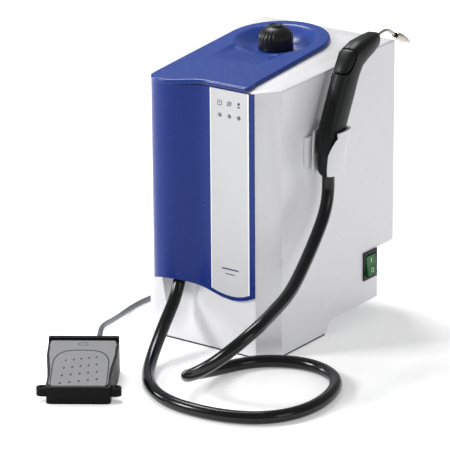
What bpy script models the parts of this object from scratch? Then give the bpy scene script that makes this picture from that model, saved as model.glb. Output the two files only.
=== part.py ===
"""Bench steam cleaner: cabinet with boiler, steam handpiece on a hose, and a foot switch on a cable.

The cabinet's own frame has X to the right, Y to the back and Z up, with its origin on the table under the
middle of the cabinet. All of it hangs on one empty, which puts the bottom centre of the whole set at the
world's origin.
"""
import math

import bmesh
import bpy
import numpy as np
from mathutils import Matrix, Vector

# ---- driving dimensions, in metres -------------------------------------------------------------------
WIDTH, DEPTH, HEIGHT = 0.200, 0.270, 0.338      # cabinet; the height is that of the front edge of its top
CHAMFER = 0.023                                 # 45 degree faces on the two front uprights
WALL = 0.0025                                   # housing wall
GAP = 0.0003                                    # clearance between neighbours that touch
SIDE_RISE = 0.0315                              # rise of the top's side edges towards the back, per metre
COVER_RISE = 0.092                              # rise of the top cover towards the back, per metre
COVER_Z = 0.356                                 # top of the cover above the cabinet's middle
COVER_HALF = 0.067                              # half the cover's width, and the radius of its round end
COVER_BACK = 0.019                              # y of the centre of the round end, and of the filler neck
LIP = 0.005                                     # thickness of the cover's lip
BOWL_R, BOWL_FLOOR_R, BOWL_FLOOR_Z = 0.051, 0.027, 0.345
WAVE = 0.020                                    # how far the facia's bulge stands out
FACIA_Y = -0.1375                               # front of the facia's flat half
FACIA_LEFT, FACIA_RIGHT = -0.070, 0.077
STEP_Y, STEP_Z = -0.005, 0.0163                 # where the housing's bottom edge rises, and how high
NOTCH_Y, NOTCH_Z = 0.099, 0.0825                # connector recess at the back
BOILER_R, BOILER_LOW, BOILER_HIGH = 0.070, 0.045, 0.245
GRIP_X = 0.122                                  # middle plane of the handpiece
HOSE_D, CABLE_D = 0.0156, 0.007
FOOT_PLACE, FOOT_TURN = (-0.039, -0.331), math.radians(34)
COIL_PLACE, COIL_D = (-0.060, 0.203), 0.078     # spare foot cable, wound close behind the cabinet
FLOOR_EDGE = 0.0020                             # the housing's bottom edge, on its rubber trim
SCOOP_X, SCOOP_R = -0.036, 0.032                # round hollow at the front that the hose leaves from
GLAND_UP = Vector((0.0, 0.40, 0.9165)).normalized()
GLAND_SEAT = Vector((-0.036, -0.131, 0.101)) + GLAND_UP * 0.014
SWITCH_Y, SWITCH_Z = 0.0805, 0.0645             # middle of the mains switch on the right side
LENS_X, LENS_Z, LENS_R = (0.028, 0.042, 0.056), 0.304, 0.0023
INLET_X, INLET_Z = 0.045, 0.050                 # mains inlet on the connector panel
SOCKET = (-0.032, 0.050)                        # x and z of the foot switch's socket
TRIGGER_AXIS = (-0.0010, 0.3530)                # y and z of the trigger's pin
TRIGGER_WINDOW = [(-0.050, 0.3420), (-0.0200, 0.3420), (-0.0110, 0.3480), (-0.0035, 0.3580), (-0.0010, 0.3680),
                  (-0.0034, 0.3780), (-0.0090, 0.3840), (-0.0500, 0.3840)]
TRIGGER_SIDE = [(-0.050, 0.3436), (-0.0212, 0.3436), (-0.0126, 0.3493), (-0.0052, 0.3592), (-0.0028, 0.3682),
                (-0.0054, 0.3770), (-0.0110, 0.3800), (-0.0500, 0.3800)]
SPINE = [  # handpiece sections: y, z, lean in degrees from level, half width across, half depth
    (-0.0450, 0.2510, 0, 0.0132, 0.0150), (-0.0425, 0.2660, 14, 0.0128, 0.0160),
    (-0.0335, 0.2850, 22, 0.0126, 0.0178), (-0.0200, 0.3130, 24, 0.0126, 0.0180),
    (-0.0070, 0.3400, 26, 0.0130, 0.0172), (0.0025, 0.3550, 46, 0.0136, 0.0172),
    (0.0190, 0.3615, 76, 0.0134, 0.0142), (0.0360, 0.3655, 78, 0.0120, 0.0122),
    (0.0510, 0.3690, 78, 0.0098, 0.0098), (0.0585, 0.3706, 78, 0.0060, 0.0060),
]
PEDAL_AXIS = (0.0450, 0.0362)                   # y and z of the pedal's pin, in the foot switch's own frame
GLAND_X = 0.017                                 # x of the foot switch's cable gland

# Routes of the two cords: points on the centre line, from the exit to the far end.
HOSE_ROUTE = [
    (-0.036, -0.131, 0.101), (-0.034, -0.141, 0.0795), (-0.031, -0.155, 0.061), (-0.027, -0.175, 0.045),
    (-0.016, -0.213, 0.022), (0.009, -0.262, 0.0085), (0.036, -0.293, 0.0079), (0.063, -0.312, 0.0079),
    (0.096, -0.323, 0.0079), (0.137, -0.324, 0.0079), (0.176, -0.315, 0.0079), (0.203, -0.299, 0.0079),
    (0.223, -0.272, 0.0079), (0.231, -0.241, 0.0079), (0.230, -0.210, 0.0079), (0.222, -0.180, 0.0079),
    (0.203, -0.150, 0.0079), (0.179, -0.135, 0.0079), (0.145, -0.131, 0.0079), (0.118, -0.140, 0.0079),
    (0.092, -0.161, 0.0079), (0.077, -0.190, 0.0081), (0.0725, -0.222, 0.012), (0.0735, -0.255, 0.019),
    (0.082, -0.282, 0.027), (0.104, -0.299, 0.040), (0.131, -0.300, 0.058), (0.153, -0.284, 0.079),
    (0.163, -0.255, 0.095), (0.160, -0.218, 0.103), (0.152, -0.172, 0.112), (0.140, -0.122, 0.132),
    (0.129, -0.077, 0.158), (0.1235, -0.050, 0.188), (0.122, -0.045, 0.205), (0.122, -0.045, 0.2206),
]
CABLE_ROUTE = [
    (-0.0657, -0.2610, 0.0349), (-0.0812, -0.2380, 0.0358), (-0.104, -0.197, 0.027), (-0.129, -0.147, 0.013),
    (-0.148, -0.100, 0.0045), (-0.1535, -0.065, 0.0036), (-0.152, -0.030, 0.0036), (-0.150, 0.010, 0.0036),
    (-0.149, 0.055, 0.0036), (-0.146, 0.098, 0.0036), (-0.138, 0.138, 0.0036), (-0.124, 0.175, 0.0036),
    (-0.1105, 0.196, 0.0036),
]
TAIL_ROUTE = [
    (-0.0098, 0.2030, 0.0105), (-0.0105, 0.1860, 0.0175), (-0.0145, 0.1730, 0.030), (-0.0220, 0.1610, 0.043),
    (-0.0300, 0.1500, 0.0495), (-0.0320, 0.1420, 0.050), (-0.0320, 0.1334, 0.050),
]


# ---- helpers -----------------------------------------------------------------------------------------
def paint(name, colour, roughness=0.5, metallic=0.0):
    """A plain material for one kind of piece."""
    material = bpy.data.materials.new(name)
    material.use_nodes = True
    shader = material.node_tree.nodes["Principled BSDF"]
    shader.inputs["Base Color"].default_value = (*colour, 1.0)
    shader.inputs["Roughness"].default_value = roughness
    shader.inputs["Metallic"].default_value = metallic
    material.diffuse_color = (*colour, 1.0)
    return material


def add(name, bm, material, place=None, parent=None):
    """Turn a bmesh into a named object, with its faces pointing out."""
    bmesh.ops.remove_doubles(bm, verts=bm.verts, dist=1e-6)
    bmesh.ops.recalc_face_normals(bm, faces=bm.faces)
    mesh = bpy.data.meshes.new(name)
    bm.to_mesh(mesh)
    bm.free()
    mesh.materials.append(material)
    mesh.shade_smooth()
    mesh.set_sharp_from_angle(angle=math.radians(35))
    piece = bpy.data.objects.new(name, mesh)
    bpy.context.collection.objects.link(piece)
    piece.parent = parent or BENCH
    if place is not None:
        piece.matrix_local = place
    return piece


def at(x, y, z, turn=0.0, tilt=0.0):
    """A place: tilt about X first, then turn about Z."""
    return Matrix.Translation((x, y, z)) @ Matrix.Rotation(turn, 4, "Z") @ Matrix.Rotation(tilt, 4, "X")


def along(start, direction):
    """A place whose +Z runs along a direction."""
    return Matrix.Translation(start) @ Vector(direction).to_track_quat("Z", "Y").to_matrix().to_4x4()


def join(*shapes):
    """Several bmeshes as one, each staying a body of its own."""
    whole = shapes[0]
    for shape in shapes[1:]:
        mesh = bpy.data.meshes.new("part")
        shape.to_mesh(mesh)
        shape.free()
        whole.from_mesh(mesh)
        bpy.data.meshes.remove(mesh)
    return whole


def moved(bm, place):
    bmesh.ops.transform(bm, matrix=place, verts=bm.verts)
    return bm


def box(low, high):
    bm = bmesh.new()
    bmesh.ops.create_cube(bm, size=1.0)
    size = Vector(high) - Vector(low)
    middle = (Vector(high) + Vector(low)) / 2
    bmesh.ops.transform(bm, matrix=Matrix.Translation(middle) @ Matrix.Diagonal((*size, 1.0)), verts=bm.verts)
    return bm


def prism(outline, low, high, axis="Z"):
    """An outline of (u, v) points pushed along an axis: Z takes (x, y), Y takes (x, z), X takes (y, z)."""
    spot = {"Z": lambda u, v, w: (u, v, w), "Y": lambda u, v, w: (u, w, v), "X": lambda u, v, w: (w, u, v)}[axis]
    bm = bmesh.new()
    face = bm.faces.new([bm.verts.new(spot(u, v, low)) for u, v in outline])
    pushed = bmesh.ops.extrude_face_region(bm, geom=[face])
    shift = Vector(spot(0, 0, high)) - Vector(spot(0, 0, low))
    moved_verts = [item for item in pushed["geom"] if isinstance(item, bmesh.types.BMVert)]
    bmesh.ops.translate(bm, vec=shift, verts=moved_verts)
    return bm


def turned(profile, segments=32):
    """A closed profile of (radius, z) points spun about Z; a radius of 0 makes a pole."""
    bm = bmesh.new()
    verts = [bm.verts.new((r, 0, z)) for r, z in profile]
    edges = [bm.edges.new((verts[i], verts[i + 1])) for i in range(len(verts) - 1)]
    if profile[0][0] > 0 or profile[-1][0] > 0:
        edges.append(bm.edges.new((verts[-1], verts[0])))
    bmesh.ops.spin(bm, geom=verts + edges, cent=(0, 0, 0), axis=(0, 0, 1), angle=math.tau, steps=segments,
                   use_merge=True, use_duplicate=False)
    bmesh.ops.remove_doubles(bm, verts=bm.verts, dist=1e-6)
    return bm


def rod(radius, low, high, segments=16):
    return turned([(0, low), (radius, low), (radius, high), (0, high)], segments)


def ring(inner, outer, low, high, segments=32):
    return turned([(inner, low), (outer, low), (outer, high), (inner, high)], segments)


def loft(rings, closed_ends=True):
    """Skin over rings that have the same number of points."""
    bm = bmesh.new()
    loops = [[bm.verts.new(point) for point in points] for points in rings]
    count = len(loops[0])
    for near, far in zip(loops, loops[1:]):
        for i in range(count):
            j = (i + 1) % count
            bm.faces.new((near[i], near[j], far[j], far[i]))
    if closed_ends:
        bm.faces.new(loops[0])
        bm.faces.new(loops[-1])
    return bm


def cutter(name, bm, place=None, parent=None):
    """A shape that only cuts or joins others."""
    tool = add(name, bm, TOOL, place, parent)
    tool.hide_render = True
    tool.display_type = "WIRE"
    return tool


def boolean(piece, tool, operation="DIFFERENCE"):
    step = piece.modifiers.new(tool.name, "BOOLEAN")
    step.operation = operation
    step.solver = "EXACT"
    step.object = tool
    return piece


def smooth_route(points, spacing):
    """Points read from a natural cubic curve through a route, a given distance apart."""
    route = np.array(points)
    knots = np.concatenate(([0.0], np.cumsum(np.linalg.norm(np.diff(route, axis=0), axis=1))))
    step = np.diff(knots)
    count = len(route)
    system = np.eye(count)
    right = np.zeros((count, 3))
    for i in range(1, count - 1):
        system[i, i - 1], system[i, i], system[i, i + 1] = step[i - 1], 2 * (step[i - 1] + step[i]), step[i]
        right[i] = 6 * ((route[i + 1] - route[i]) / step[i] - (route[i] - route[i - 1]) / step[i - 1])
    bend = np.linalg.solve(system, right)
    result = []
    for t in np.linspace(0.0, knots[-1], max(2, round(knots[-1] / spacing)) + 1):
        i = min(int(np.searchsorted(knots, t, side="right")) - 1, count - 2)
        after, before, h = t - knots[i], knots[i + 1] - t, step[i]
        result.append(tuple((bend[i] * before**3 + bend[i + 1] * after**3) / (6 * h)
                            + (route[i] / h - bend[i] * h / 6) * before
                            + (route[i + 1] / h - bend[i + 1] * h / 6) * after))
    return result


def tube(name, points, diameter, material, sides=3, parent=None):
    """A solid round bar along points, as a curve with a bevel and filled caps."""
    curve = bpy.data.curves.new(name, "CURVE")
    curve.dimensions = "3D"
    curve.resolution_u = 1
    curve.render_resolution_u = 1
    curve.bevel_depth = diameter / 2
    curve.bevel_resolution = sides
    curve.use_fill_caps = True
    spline = curve.splines.new("POLY")
    spline.points.add(len(points) - 1)
    for point, place in zip(spline.points, points):
        point.co = (*place, 1.0)
    curve.materials.append(material)
    piece = bpy.data.objects.new(name, curve)
    bpy.context.collection.objects.link(piece)
    piece.parent = parent or BENCH
    return piece


def arc(centre, radius, start, stop, count):
    """Points on an arc, angles in degrees."""
    return [(centre[0] + radius * math.cos(math.radians(a)), centre[1] + radius * math.sin(math.radians(a)))
            for a in np.linspace(start, stop, count)]


def bounds_of(pieces):
    corners = []
    for piece in pieces:
        evaluated = piece.evaluated_get(bpy.context.evaluated_depsgraph_get())
        mesh = evaluated.to_mesh()
        corners += [piece.matrix_world @ vertex.co for vertex in mesh.vertices]
        evaluated.to_mesh_clear()
    return [(min(c[i] for c in corners), max(c[i] for c in corners)) for i in range(3)]


for leftover in list(bpy.data.objects):
    bpy.data.objects.remove(leftover)

BENCH = bpy.data.objects.new("bench_frame", None)
bpy.context.collection.objects.link(BENCH)

TOOL = paint("tool", (0.8, 0.2, 0.2))
WHITE = paint("housing_white", (0.88, 0.88, 0.90), 0.35)
BLUE = paint("facia_blue", (0.045, 0.085, 0.36), 0.35)
LABEL = paint("label_grey", (0.74, 0.76, 0.78), 0.45)
BLACK = paint("black_plastic", (0.018, 0.019, 0.020), 0.45)
RUBBER = paint("black_rubber", (0.015, 0.015, 0.016), 0.55)
PEDAL_GREY = paint("pedal_grey", (0.16, 0.16, 0.17), 0.55)
CABLE_GREY = paint("cable_grey", (0.09, 0.10, 0.11), 0.5)
STEEL = paint("steel", (0.62, 0.61, 0.58), 0.28, 1.0)
BRASS = paint("brass", (0.72, 0.55, 0.28), 0.3, 1.0)
ZINC = paint("zinc_plated", (0.55, 0.56, 0.58), 0.4, 1.0)
FOOT_BLACK = paint("foot_black", (0.012, 0.012, 0.013), 0.5)
GREEN = paint("rocker_green", (0.03, 0.40, 0.09), 0.2)
LENS = paint("lens_clear", (0.55, 0.57, 0.58), 0.2)
BOARD = paint("circuit_green", (0.03, 0.20, 0.09), 0.5)
FOAM = paint("insulation", (0.62, 0.55, 0.40), 0.9)


# ---- cabinet -----------------------------------------------------------------------------------------
HALF = WIDTH / 2
FRONT = -DEPTH / 2
BACK = DEPTH / 2


def plan(inset=0.0):
    """The cabinet's outline from above, anticlockwise from the front's right end."""
    half, front, back = HALF - inset, FRONT + inset, BACK - inset
    cut = CHAMFER - inset * (2 - math.sqrt(2))
    return [(half - cut, front), (half, front + cut), (half, back), (-half, back), (-half, front + cut),
            (-half + cut, front)]


def crown(inset=0.0):
    """The outline on the housing's top that the cover sits on."""
    half = COVER_HALF - inset
    return [(half, FRONT + 0.004 + inset)] + arc((0, COVER_BACK), half, 0, 180, 25) + [(-half, FRONT + 0.004 + inset)]


def edge_top(y):
    return HEIGHT + SIDE_RISE * (y - FRONT)


def cover_top(y):
    return COVER_Z + COVER_RISE * y


def ray_points(outline, centre, angles):
    """Where rays from a centre meet an outline."""
    found = []
    for angle in angles:
        way = Vector((math.cos(angle), math.sin(angle)))
        best = None
        for i, start in enumerate(outline):
            a, b = Vector(start) - Vector(centre), Vector(outline[(i + 1) % len(outline)]) - Vector(centre)
            edge = b - a
            cross = way.x * edge.y - way.y * edge.x
            if abs(cross) < 1e-12:
                continue
            reach = (a.x * edge.y - a.y * edge.x) / cross
            share = (a.x * way.y - a.y * way.x) / cross
            if reach > 0 and -1e-9 <= share <= 1 + 1e-9 and (best is None or reach > best):
                best = reach
        found.append((centre[0] + way.x * best, centre[1] + way.y * best))
    return found


def make_housing():
    """White shell: walls, crowned top with its opening, and the scoop that the hose leaves from."""
    centre = (0.0, -0.020)
    corners = [math.atan2(y - centre[1], x - centre[0]) % math.tau for x, y in plan()]
    corners += [math.atan2(y - centre[1], x - centre[0]) % math.tau for x, y in (crown()[0], crown()[-1])]
    even = [a for a in np.arange(0, math.tau, math.tau / 48)
            if min(abs(a - c) for c in corners) > 0.05]
    angles = sorted(corners + even)
    outer = ray_points(plan(), centre, angles)
    inner = ray_points(crown(0.001), centre, angles)
    flange = ray_points(crown(0.011), centre, angles)
    edge = 0.0025
    rings = [[(x, y, FLOOR_EDGE) for x, y in outer]]
    rings.append([(x, y, edge_top(y) - edge) for x, y in outer])
    for inset in (0.0008, edge):
        soft = ray_points(plan(inset), centre, angles)
        rings.append([(x, y, edge_top(y) - (0.0008 if inset < edge else 0.0)) for x, y in soft])
    last = ray_points(plan(edge), centre, angles)
    for share in (0.25, 0.5, 0.75, 1.0):
        ease = share * share * (3 - 2 * share)
        ring_points = []
        for (x0, y0), (x1, y1) in zip(last, inner):
            x, y = x0 + (x1 - x0) * share, y0 + (y1 - y0) * share
            low, high = edge_top(y0), cover_top(y1) - LIP - GAP
            ring_points.append((x, y, low + (high - low) * ease))
        rings.append(ring_points)
    rings.append([(x, y, cover_top(y) - LIP - GAP) for x, y in flange])
    shell = add("housing", loft(rings, closed_ends=False), WHITE)
    wall = shell.modifiers.new("wall", "SOLIDIFY")
    wall.thickness = WALL
    wall.offset = -1.0
    wall.use_even_offset = True
    wall.thickness_clamp = 0.0

    pocket_axis = Vector((0, -0.245, -0.9695))
    foot = Vector((SCOOP_X, FRONT - 0.033, 0.008))
    pocket = cutter("scoop_wall", rod(SCOOP_R + WALL, -0.05, 0.108 + WALL, 40), along(foot, -pocket_axis))
    boolean(pocket, cutter("scoop_keep", box((-0.1, FRONT + 0.0008, 0.004), (0.1, 0.0, 0.2))), "INTERSECT")
    boolean(shell, pocket, "UNION")
    boolean(shell, cutter("scoop", rod(SCOOP_R, -0.08, 0.108, 40), along(foot, -pocket_axis)))
    boolean(shell, cutter("gland_hole", rod(0.0086, -0.012, 0.03, 24), along(GLAND_SEAT, GLAND_UP)))
    recess = [(-0.0175, -0.01), (-0.0175, 0.001)] + arc((-0.0185, 0.007), 0.006, -60, -10, 4)
    recess += arc((-0.005, 0.0083), 0.008, 165, 90, 5)
    recess += [(NOTCH_Y, STEP_Z), (NOTCH_Y, NOTCH_Z), (0.2, NOTCH_Z), (0.2, -0.01)]
    boolean(shell, cutter("underside", prism(recess, -0.12, 0.12, "X")))
    slots = [box((-0.045, BACK - 0.01, z), (0.045, BACK + 0.01, z + 0.004)) for z in np.arange(0.125, 0.21, 0.010)]
    holes = [box((0.09, SWITCH_Y - 0.0112, SWITCH_Z - 0.0148), (0.11, SWITCH_Y + 0.0112, SWITCH_Z + 0.0148))]
    holes.append(box((0.022, FRONT - 0.01, LENS_Z - 0.004), (0.062, FRONT + 0.01, LENS_Z + 0.004)))
    for x in (-0.05, 0.05):
        holes.append(box((x - 0.004, FRONT - 0.01, 0.21), (x + 0.004, FRONT + 0.01, 0.22)))
    boolean(shell, cutter("wall_holes", join(*slots, *holes)))


make_housing()


def make_base():
    """Floor tray, rubber edge trim, rear feet and the panel that closes the connector recess."""
    thick = 0.0015
    tray = [(FRONT + 0.003, 0.0040), (-0.0235, 0.0040), (-0.012, 0.0190), (0.0965, 0.0190),
            (0.0965, 0.0190 + thick), (-0.013, 0.0190 + thick), (-0.0245, 0.0040 + thick),
            (FRONT + 0.003, 0.0040 + thick)]
    floor = add("base_tray", prism(tray, -0.097, 0.097, "X"), ZINC)
    boolean(floor, cutter("tray_plan", prism(plan(WALL + GAP), -0.01, 0.05)), "INTERSECT")
    pocket = rod(SCOOP_R + WALL + GAP, -0.05, 0.12, 24)
    boolean(floor, cutter("tray_scoop", pocket, along((SCOOP_X, FRONT - 0.033, 0.008), (0, 0.245, 0.9695))))
    outer, inner = plan(0.0), plan(0.006)
    strip = [(HALF, -0.0185), *reversed(outer[:2]), *reversed(outer[4:]), (-HALF, -0.0185)]
    strip += [(-HALF + 0.006, -0.0185), *inner[4:], *inner[:2], (HALF - 0.006, -0.0185)]
    add("edge_trim", prism(strip, 0.0, FLOOR_EDGE - GAP), RUBBER)
    for name, x in (("rear_foot_left", -0.062), ("rear_foot_right", 0.062)):
        add(name, turned([(0, 0), (0.010, 0), (0.0085, 0.0187), (0, 0.0187)], 20), RUBBER, at(x, 0.080, 0))
    top = NOTCH_Z - GAP
    sheet = [(NOTCH_Y, 0.0210), (NOTCH_Y, top - 0.002), (BACK - WALL - GAP, top - 0.002),
             (BACK - WALL - GAP, top), (NOTCH_Y - 0.002, top), (NOTCH_Y - 0.002, 0.0210)]
    panel = add("connector_panel", prism(sheet, -HALF + WALL + GAP, HALF - WALL - GAP, "X"), WHITE)
    inlet = box((INLET_X - 0.0138, 0.09, INLET_Z - 0.0102), (INLET_X + 0.0138, 0.11, INLET_Z + 0.0102))
    socket = moved(rod(0.0063, 0.0, 0.02, 20), along((SOCKET[0], 0.09, SOCKET[1]), (0, 1, 0)))
    boolean(panel, cutter("panel_holes", join(inlet, socket)))


make_base()


# ---- cover and facia ---------------------------------------------------------------------------------
def wave(x):
    """y of the facia's front: a rounded bulge on the left that runs out into a flat panel."""
    peak, left, right = -0.044, -0.071, 0.009
    if x <= left or x >= right:
        rise = 0.0
    elif x < peak:
        rise = math.sqrt(1 - ((peak - x) / (peak - left)) ** 2)
    else:
        rise = 0.5 + 0.5 * math.cos(math.pi * (x - peak) / (right - peak))
    return FACIA_Y - WAVE * rise


def facia_foot(x):
    """z of the facia's bottom edge: high under the bulge, dipping below the label."""
    if x < -0.040:
        return 0.088 - 0.009 * ((-0.040 - x) / 0.030) ** 2
    if x < 0.044:
        return 0.079 + 0.009 * math.cos(math.pi * (x + 0.040) / 0.084)
    return 0.070 + 0.009 * ((x - 0.044) / 0.033) ** 2


def facia_stations():
    bulge = [-0.071 + 0.027 * (1 - math.cos(a)) for a in np.linspace(0.24, math.pi / 2, 8)]
    return [FACIA_LEFT + 0.0002] + bulge + list(np.linspace(-0.0395, 0.010, 11)) + [0.0275, 0.044, 0.055,
                                                                                      0.066, FACIA_RIGHT]


def make_facia():
    """Blue front shell, hollow behind its bulge, with the label and the three lenses on it."""
    thick, top = 0.0022, HEIGHT - 0.0015
    stations = facia_stations()
    rings = []
    for i, x in enumerate(stations):
        near, far = stations[max(i - 1, 0)], stations[min(i + 1, len(stations) - 1)]
        slope = Vector((far - near, wave(far) - wave(near))).normalized()
        back = Vector((x, wave(x))) + Vector((-slope.y, slope.x)) * thick
        back.y = min(back.y, FRONT - GAP)
        back.x = min(max(back.x, FACIA_LEFT + 0.0002), FACIA_RIGHT)
        foot = facia_foot(x)
        rings.append([(x, wave(x), foot), (x, wave(x), top), (back.x, back.y, top), (back.x, back.y, foot)])
    facia = add("facia", loft(rings), BLUE)
    bores = [moved(rod(LENS_R + GAP, -0.01, 0.01, 16), along((x, FACIA_Y, LENS_Z), (0, 1, 0))) for x in LENS_X]
    boolean(facia, cutter("lens_bores", join(*bores)))
    outline = [(0.0135, 0.336), (0.0135, facia_foot(0.0135) + 0.006)]
    outline += [(x, facia_foot(x) + 0.0055) for x in (0.024, 0.034, 0.044, 0.053, 0.062)]
    outline += [(0.0705, facia_foot(0.0705) + 0.006), (0.0705, 0.336)]
    plate = add("label_plate", prism(outline, FACIA_Y - GAP - 0.0006, FACIA_Y - GAP, "Y"), LABEL)
    boolean(plate, cutter("label_bores", join(*[
        moved(rod(LENS_R + GAP, -0.01, 0.01, 16), along((x, FACIA_Y, LENS_Z), (0, 1, 0))) for x in LENS_X])))
    shape = [(0, -0.0022), (0.0012, -0.0020), (0.0020, -0.0014), (LENS_R, -0.0006), (LENS_R, 0.0026), (0, 0.0026)]
    heads = [moved(turned(shape, 16), along((x, FACIA_Y, LENS_Z), (0, 1, 0))) for x in LENS_X]
    guide = add("light_guide", box((0.0245, FACIA_Y + 0.00245, LENS_Z - 0.003), (0.0595, FACIA_Y + 0.0045,
                                                                                LENS_Z + 0.003)), LENS)
    boolean(guide, cutter("lens_heads", join(*heads)), "UNION")
    add("indicator_board", box((0.020, -0.1318, LENS_Z - 0.012), (0.064, -0.1302, LENS_Z + 0.012)), BOARD)


make_facia()


def cover_outline(inset=0.0):
    """The cover from above: straight sides, a round back and the facia's wave in front."""
    half = COVER_HALF - inset
    front = [(x, wave(x) - 0.001 + inset) for x in np.linspace(-half + 0.002, half - 0.001, 26)]
    return front + [(half + 0.0015, FACIA_Y + 0.004)] + arc((0, COVER_BACK), half, 0, 180, 33) + [
        (-half, FACIA_Y + 0.002)]


def make_cover():
    """Blue top cover: a lip, a bowl sunk around the filler neck and a ribbed run into the bowl."""
    outline = cover_outline()
    lip = [[(x, y, cover_top(y) - LIP) for x, y in outline], [(x, y, cover_top(y) - 0.0012) for x, y in outline]]
    soft = [(x * (1 - 0.0012 / 0.067), y + (0.0012 if y < 0 else -0.0006)) for x, y in outline]
    lip.append([(x, y, cover_top(y)) for x, y in soft])
    cover = add("top_cover", loft(lip), BLUE)
    outer = turned([(0, 0.3425), (0.029, 0.3425), (0.046, 0.3468), (0.0538, 0.3535), (0.0538, 0.3585),
                    (0, 0.3585)], 48)
    body = cutter("bowl_body", outer, at(0, COVER_BACK, 0))
    boolean(body, cutter("under_lip", prism([(-0.2, 0.30), (0.2, 0.30), (0.2, cover_top(0.2) - 0.002),
                                             (-0.2, cover_top(-0.2) - 0.002)], -0.1, 0.1, "X")), "INTERSECT")
    boolean(cover, body, "UNION")
    hollow = turned([(0, BOWL_FLOOR_Z), (BOWL_FLOOR_R, BOWL_FLOOR_Z), (0.038, 0.3478), (0.0465, 0.3525),
                     (0.0500, 0.3580), (0.0515, 0.3680), (0.0515, 0.3800), (0, 0.3800)], 48)
    boolean(cover, cutter("bowl", hollow, at(0, COVER_BACK, 0)))
    ramp = [(-0.078, cover_top(-0.078) + 0.0001), (-0.020, 0.3499), (-0.010, 0.3495), (-0.010, 0.380),
            (-0.078, 0.380)]
    boolean(cover, cutter("ramp", prism(ramp, -0.037, 0.037, "X")))
    boolean(cover, cutter("neck_hole", rod(0.0150, 0.33, 0.36, 32), at(0, COVER_BACK, 0)))
    ribs = []
    for x in np.linspace(-0.028, 0.028, 9):
        foot = [(-0.070, 0.3484), (-0.030, 0.3494), (-0.030, 0.3504), (-0.068, 0.3497)]
        ribs.append(prism(foot, x - 0.0009, x + 0.0009, "X"))
    boolean(cover, cutter("ribs", join(*ribs)), "UNION")


make_cover()


# ---- filler neck and cap -----------------------------------------------------------------------------
def make_filler():
    """Neck on the boiler, its grommet in the bowl, and the screw cap with its lifting seal."""
    seat = at(0, COVER_BACK, 0)
    neck = [(0.0080, BOILER_HIGH + GAP), (0.0190, BOILER_HIGH + GAP), (0.0190, BOILER_HIGH + 0.005),
            (0.0120, BOILER_HIGH + 0.007), (0.0120, 0.3570), (0.0080, 0.3570)]
    add("filler_neck", turned(neck, 32), BRASS, seat)
    add("neck_grommet", ring(0.0120 + GAP, 0.0150 - GAP, 0.3410, 0.3448, 32), RUBBER, seat)
    add("cap_seal", ring(0.0082, 0.0118, 0.3570 + GAP, 0.3590, 32), RUBBER, seat)
    disc = [(0, 0.3590 + GAP), (0.0118, 0.3590 + GAP), (0.0118, 0.3612), (0.0040, 0.3612), (0.0040, 0.3642),
            (0, 0.3642)]
    add("cap_disc", turned(disc, 32), BRASS, seat)
    low = BOWL_FLOOR_Z + GAP
    knob = [(0.0128, low), (0.0215, low), (0.0220, low + 0.0010), (0.0218, low + 0.0130)]
    knob += [(0.0218 * math.cos(a), low + 0.0130 + 0.0170 * math.sin(a)) for a in np.radians((15, 30, 45, 58))]
    knob += [(0.0090, low + 0.0296), (0.0085, low + 0.0308), (0.0060, low + 0.0306), (0, low + 0.0300)]
    knob += [(0, 0.3658), (0.0044, 0.3658), (0.0044, 0.3618), (0.0128, 0.3618)]
    bm = turned_open_inside(knob, 32)
    add("filler_cap", bm, BLACK, seat)


def turned_open_inside(profile, segments):
    """A turned cup: its profile runs from the inner bottom edge over the top pole, then from the pole
    inside back to where it started."""
    pole = next(i for i in range(1, len(profile)) if profile[i][0] == 0)
    shell = profile[:pole + 1]
    cavity = profile[pole + 1:] + [profile[0]]
    bm = bmesh.new()
    for line in (shell, cavity):
        verts = [bm.verts.new((r, 0, z)) for r, z in line]
        edges = [bm.edges.new((verts[i], verts[i + 1])) for i in range(len(verts) - 1)]
        bmesh.ops.spin(bm, geom=verts + edges, cent=(0, 0, 0), axis=(0, 0, 1), angle=math.tau, steps=segments,
                       use_merge=True, use_duplicate=False)
    bmesh.ops.remove_doubles(bm, verts=bm.verts, dist=1e-6)
    return bm


make_filler()


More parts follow.
